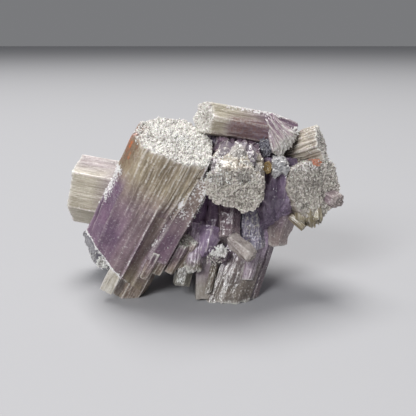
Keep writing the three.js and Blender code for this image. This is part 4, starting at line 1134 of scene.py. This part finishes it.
def druse(name, finish, places, outward, size, slant, seed):
    """A crust of small six-sided crystals as one mesh: each is a prism with a pyramid on top, turned at
    random about its own axis, which leans at random from the outward direction. size is the shortest and
    the longest in millimetres, and its width, its sunk root, its shaft and its point are shares of that."""
    rng = np.random.default_rng(seed)
    many = len(places)
    axis = unit(outward + slant * rng.normal(size=(many, 3)))
    side = unit(np.cross(axis, rng.normal(size=(many, 3))))
    third = np.cross(axis, side)
    long = rng.uniform(*size, (many, 1))
    turn = np.arange(6) * np.pi / 3
    ring = np.stack([np.cos(turn), np.sin(turn)], -1)
    wide = DRUSE_WIDTH * long * rng.uniform(0.7, 1.3, (many, 1))
    rings = wide[:, None] * (ring[:, :1] * side[:, None] + ring[:, 1:] * third[:, None])
    way = (long * axis)[:, None]
    base = places[:, None] - DRUSE_ROOT * way
    points = np.concatenate([base + rings, base + rings + DRUSE_SHAFT * way, base,
                             base + DRUSE_POINT * way], axis=1)
    k = np.arange(6)
    n = (k + 1) % 6
    faces = np.concatenate([np.stack([k, n, n + 6], -1), np.stack([k, n + 6, k + 6], -1),
                            np.stack([k + 6, n + 6, np.full(6, 13)], -1),
                            np.stack([n, k, np.full(6, 12)], -1)])
    faces = (faces[None] + 14 * np.arange(many)[:, None, None]).reshape(-1, 3)
    mesh = bpy.data.meshes.new(name)
    mesh.from_pydata((points.reshape(-1, 3) * MM).tolist(), [], faces.tolist())
    mesh.attributes.new("end", "FLOAT", "POINT").data.foreach_set("value", np.ones(14 * many))
    hand_over(name, mesh, finish, *REST)


def spots_on(surface, share, many, seed):
    """Random grid points of a crystal, picked more often where share is high, and their outward
    directions."""
    share = np.clip(share, 0, None)
    picked = np.random.default_rng(seed).choice(len(share), many, p=share / share.sum())
    return surface["place"][picked], surface["outward"][picked]


def clump(centre, reach, many, seed):
    """Random points on the front and upper half of a ball, and their outward directions."""
    way = unit(np.random.default_rng(seed).normal(size=(many, 3)))
    way[:, 1] = -np.abs(way[:, 1])
    share = np.sqrt(np.random.default_rng(seed + 50).uniform(0.05, 1, (many, 1)))
    return np.array(centre) + way * np.array(reach) * share, way


for name, finish, bed, share, many, size, slant, seed in (
    ("left_prism_druse", druse_finish, left_prism,
     lambda x, y, w: left_marks(x, y, w)["frost_and_highlight"] ** 2 * (w < -1), 1100, (0.15, 0.45), 0.7, 1),
    ("left_cap_druse", druse_finish, left_prism,
     lambda x, y, w: left_prism["marks"]["end"] * (w > -4), 900, (0.2, 0.5), 0.8, 3),
    ("back_left_druse", druse_finish, back_left,
     lambda x, y, w: between(w, (-16, 1), (-9, 1), (-7, 0)) * (y > 3.5), 120, (0.15, 0.4), 0.7, 5),
    ("lower_left_druse", druse_finish, lower_left,
     lambda x, y, w: (w > -7) * (y < 0) * (x > 0), 90, (0.2, 0.5), 0.7, 7),
    ("front_top_druse", druse_finish, front_crystal,
     lambda x, y, w: between(y, (1.5, 0), (3, 1)) * (w > -5) * between(x, (-3, 1), (0, 0.15), (5, 0.3)),
     300, (0.2, 0.5), 0.7, 9),
    ("right_top_druse", grey_druse_finish, right_crystal,
     lambda x, y, w: between(y, (3, 0), (4.5, 1)) * (w > -4), 220, (0.2, 0.55), 0.7, 13),
    ("top_end_druse", grey_druse_finish, top_prism,
     lambda x, y, w: 1.0 * (w > -1), 160, (0.15, 0.4), 0.7, 15),
    ("upper_right_druse", grey_druse_finish, upper_right,
     lambda x, y, w: 1.0 * (w > -1), 160, (0.2, 0.5), 0.7, 17),
):
    druse(name, finish, *spots_on(bed, share(*bed["local"].T), many, seed), size, slant, seed + 1)
for number, (name, finish, centre, reach, many, size, slant) in enumerate((
    ("sparkling_druse", druse_finish, (3.9, -12.8, 11.1), (1.7, 0.3, 0.9), 60, (0.5, 1.5), 0.9),
    ("knob_druse", grey_druse_finish, (-3.0, -11.4, 12.8), (1.5, 1.2, 1.5), 320, (0.3, 0.6), 0.5),
    ("hollow_druse", blue_druse_finish, (13.2, -8.4, 32.0), (1.5, 0.8, 2.0), 260, (0.4, 0.8), 0.6),
    ("fan_druse", druse_finish, (18.0, -7.4, 34.8), (2.2, 1.0, 1.2), 120, (0.3, 0.8), 0.7),
    ("blue_grey_druse", grey_druse_finish, (10.6, -10.7, 15.0), (2.0, 0.4, 4.6), 90, (0.15, 0.4), 0.8),
    ("block_druse", grey_druse_finish, (2.8, -12.4, 9.4), (1.8, 0.2, 1.4), 60, (0.2, 0.5), 0.7),
    ("foot_druse", druse_finish, (-21.9, 0.4, 4.2), (1.7, 0.9, 1.2), 100, (0.4, 1.1), 0.8),
)):
    druse(name, finish, *clump(centre, reach, many, 30 + number), size, slant, 40 + number)
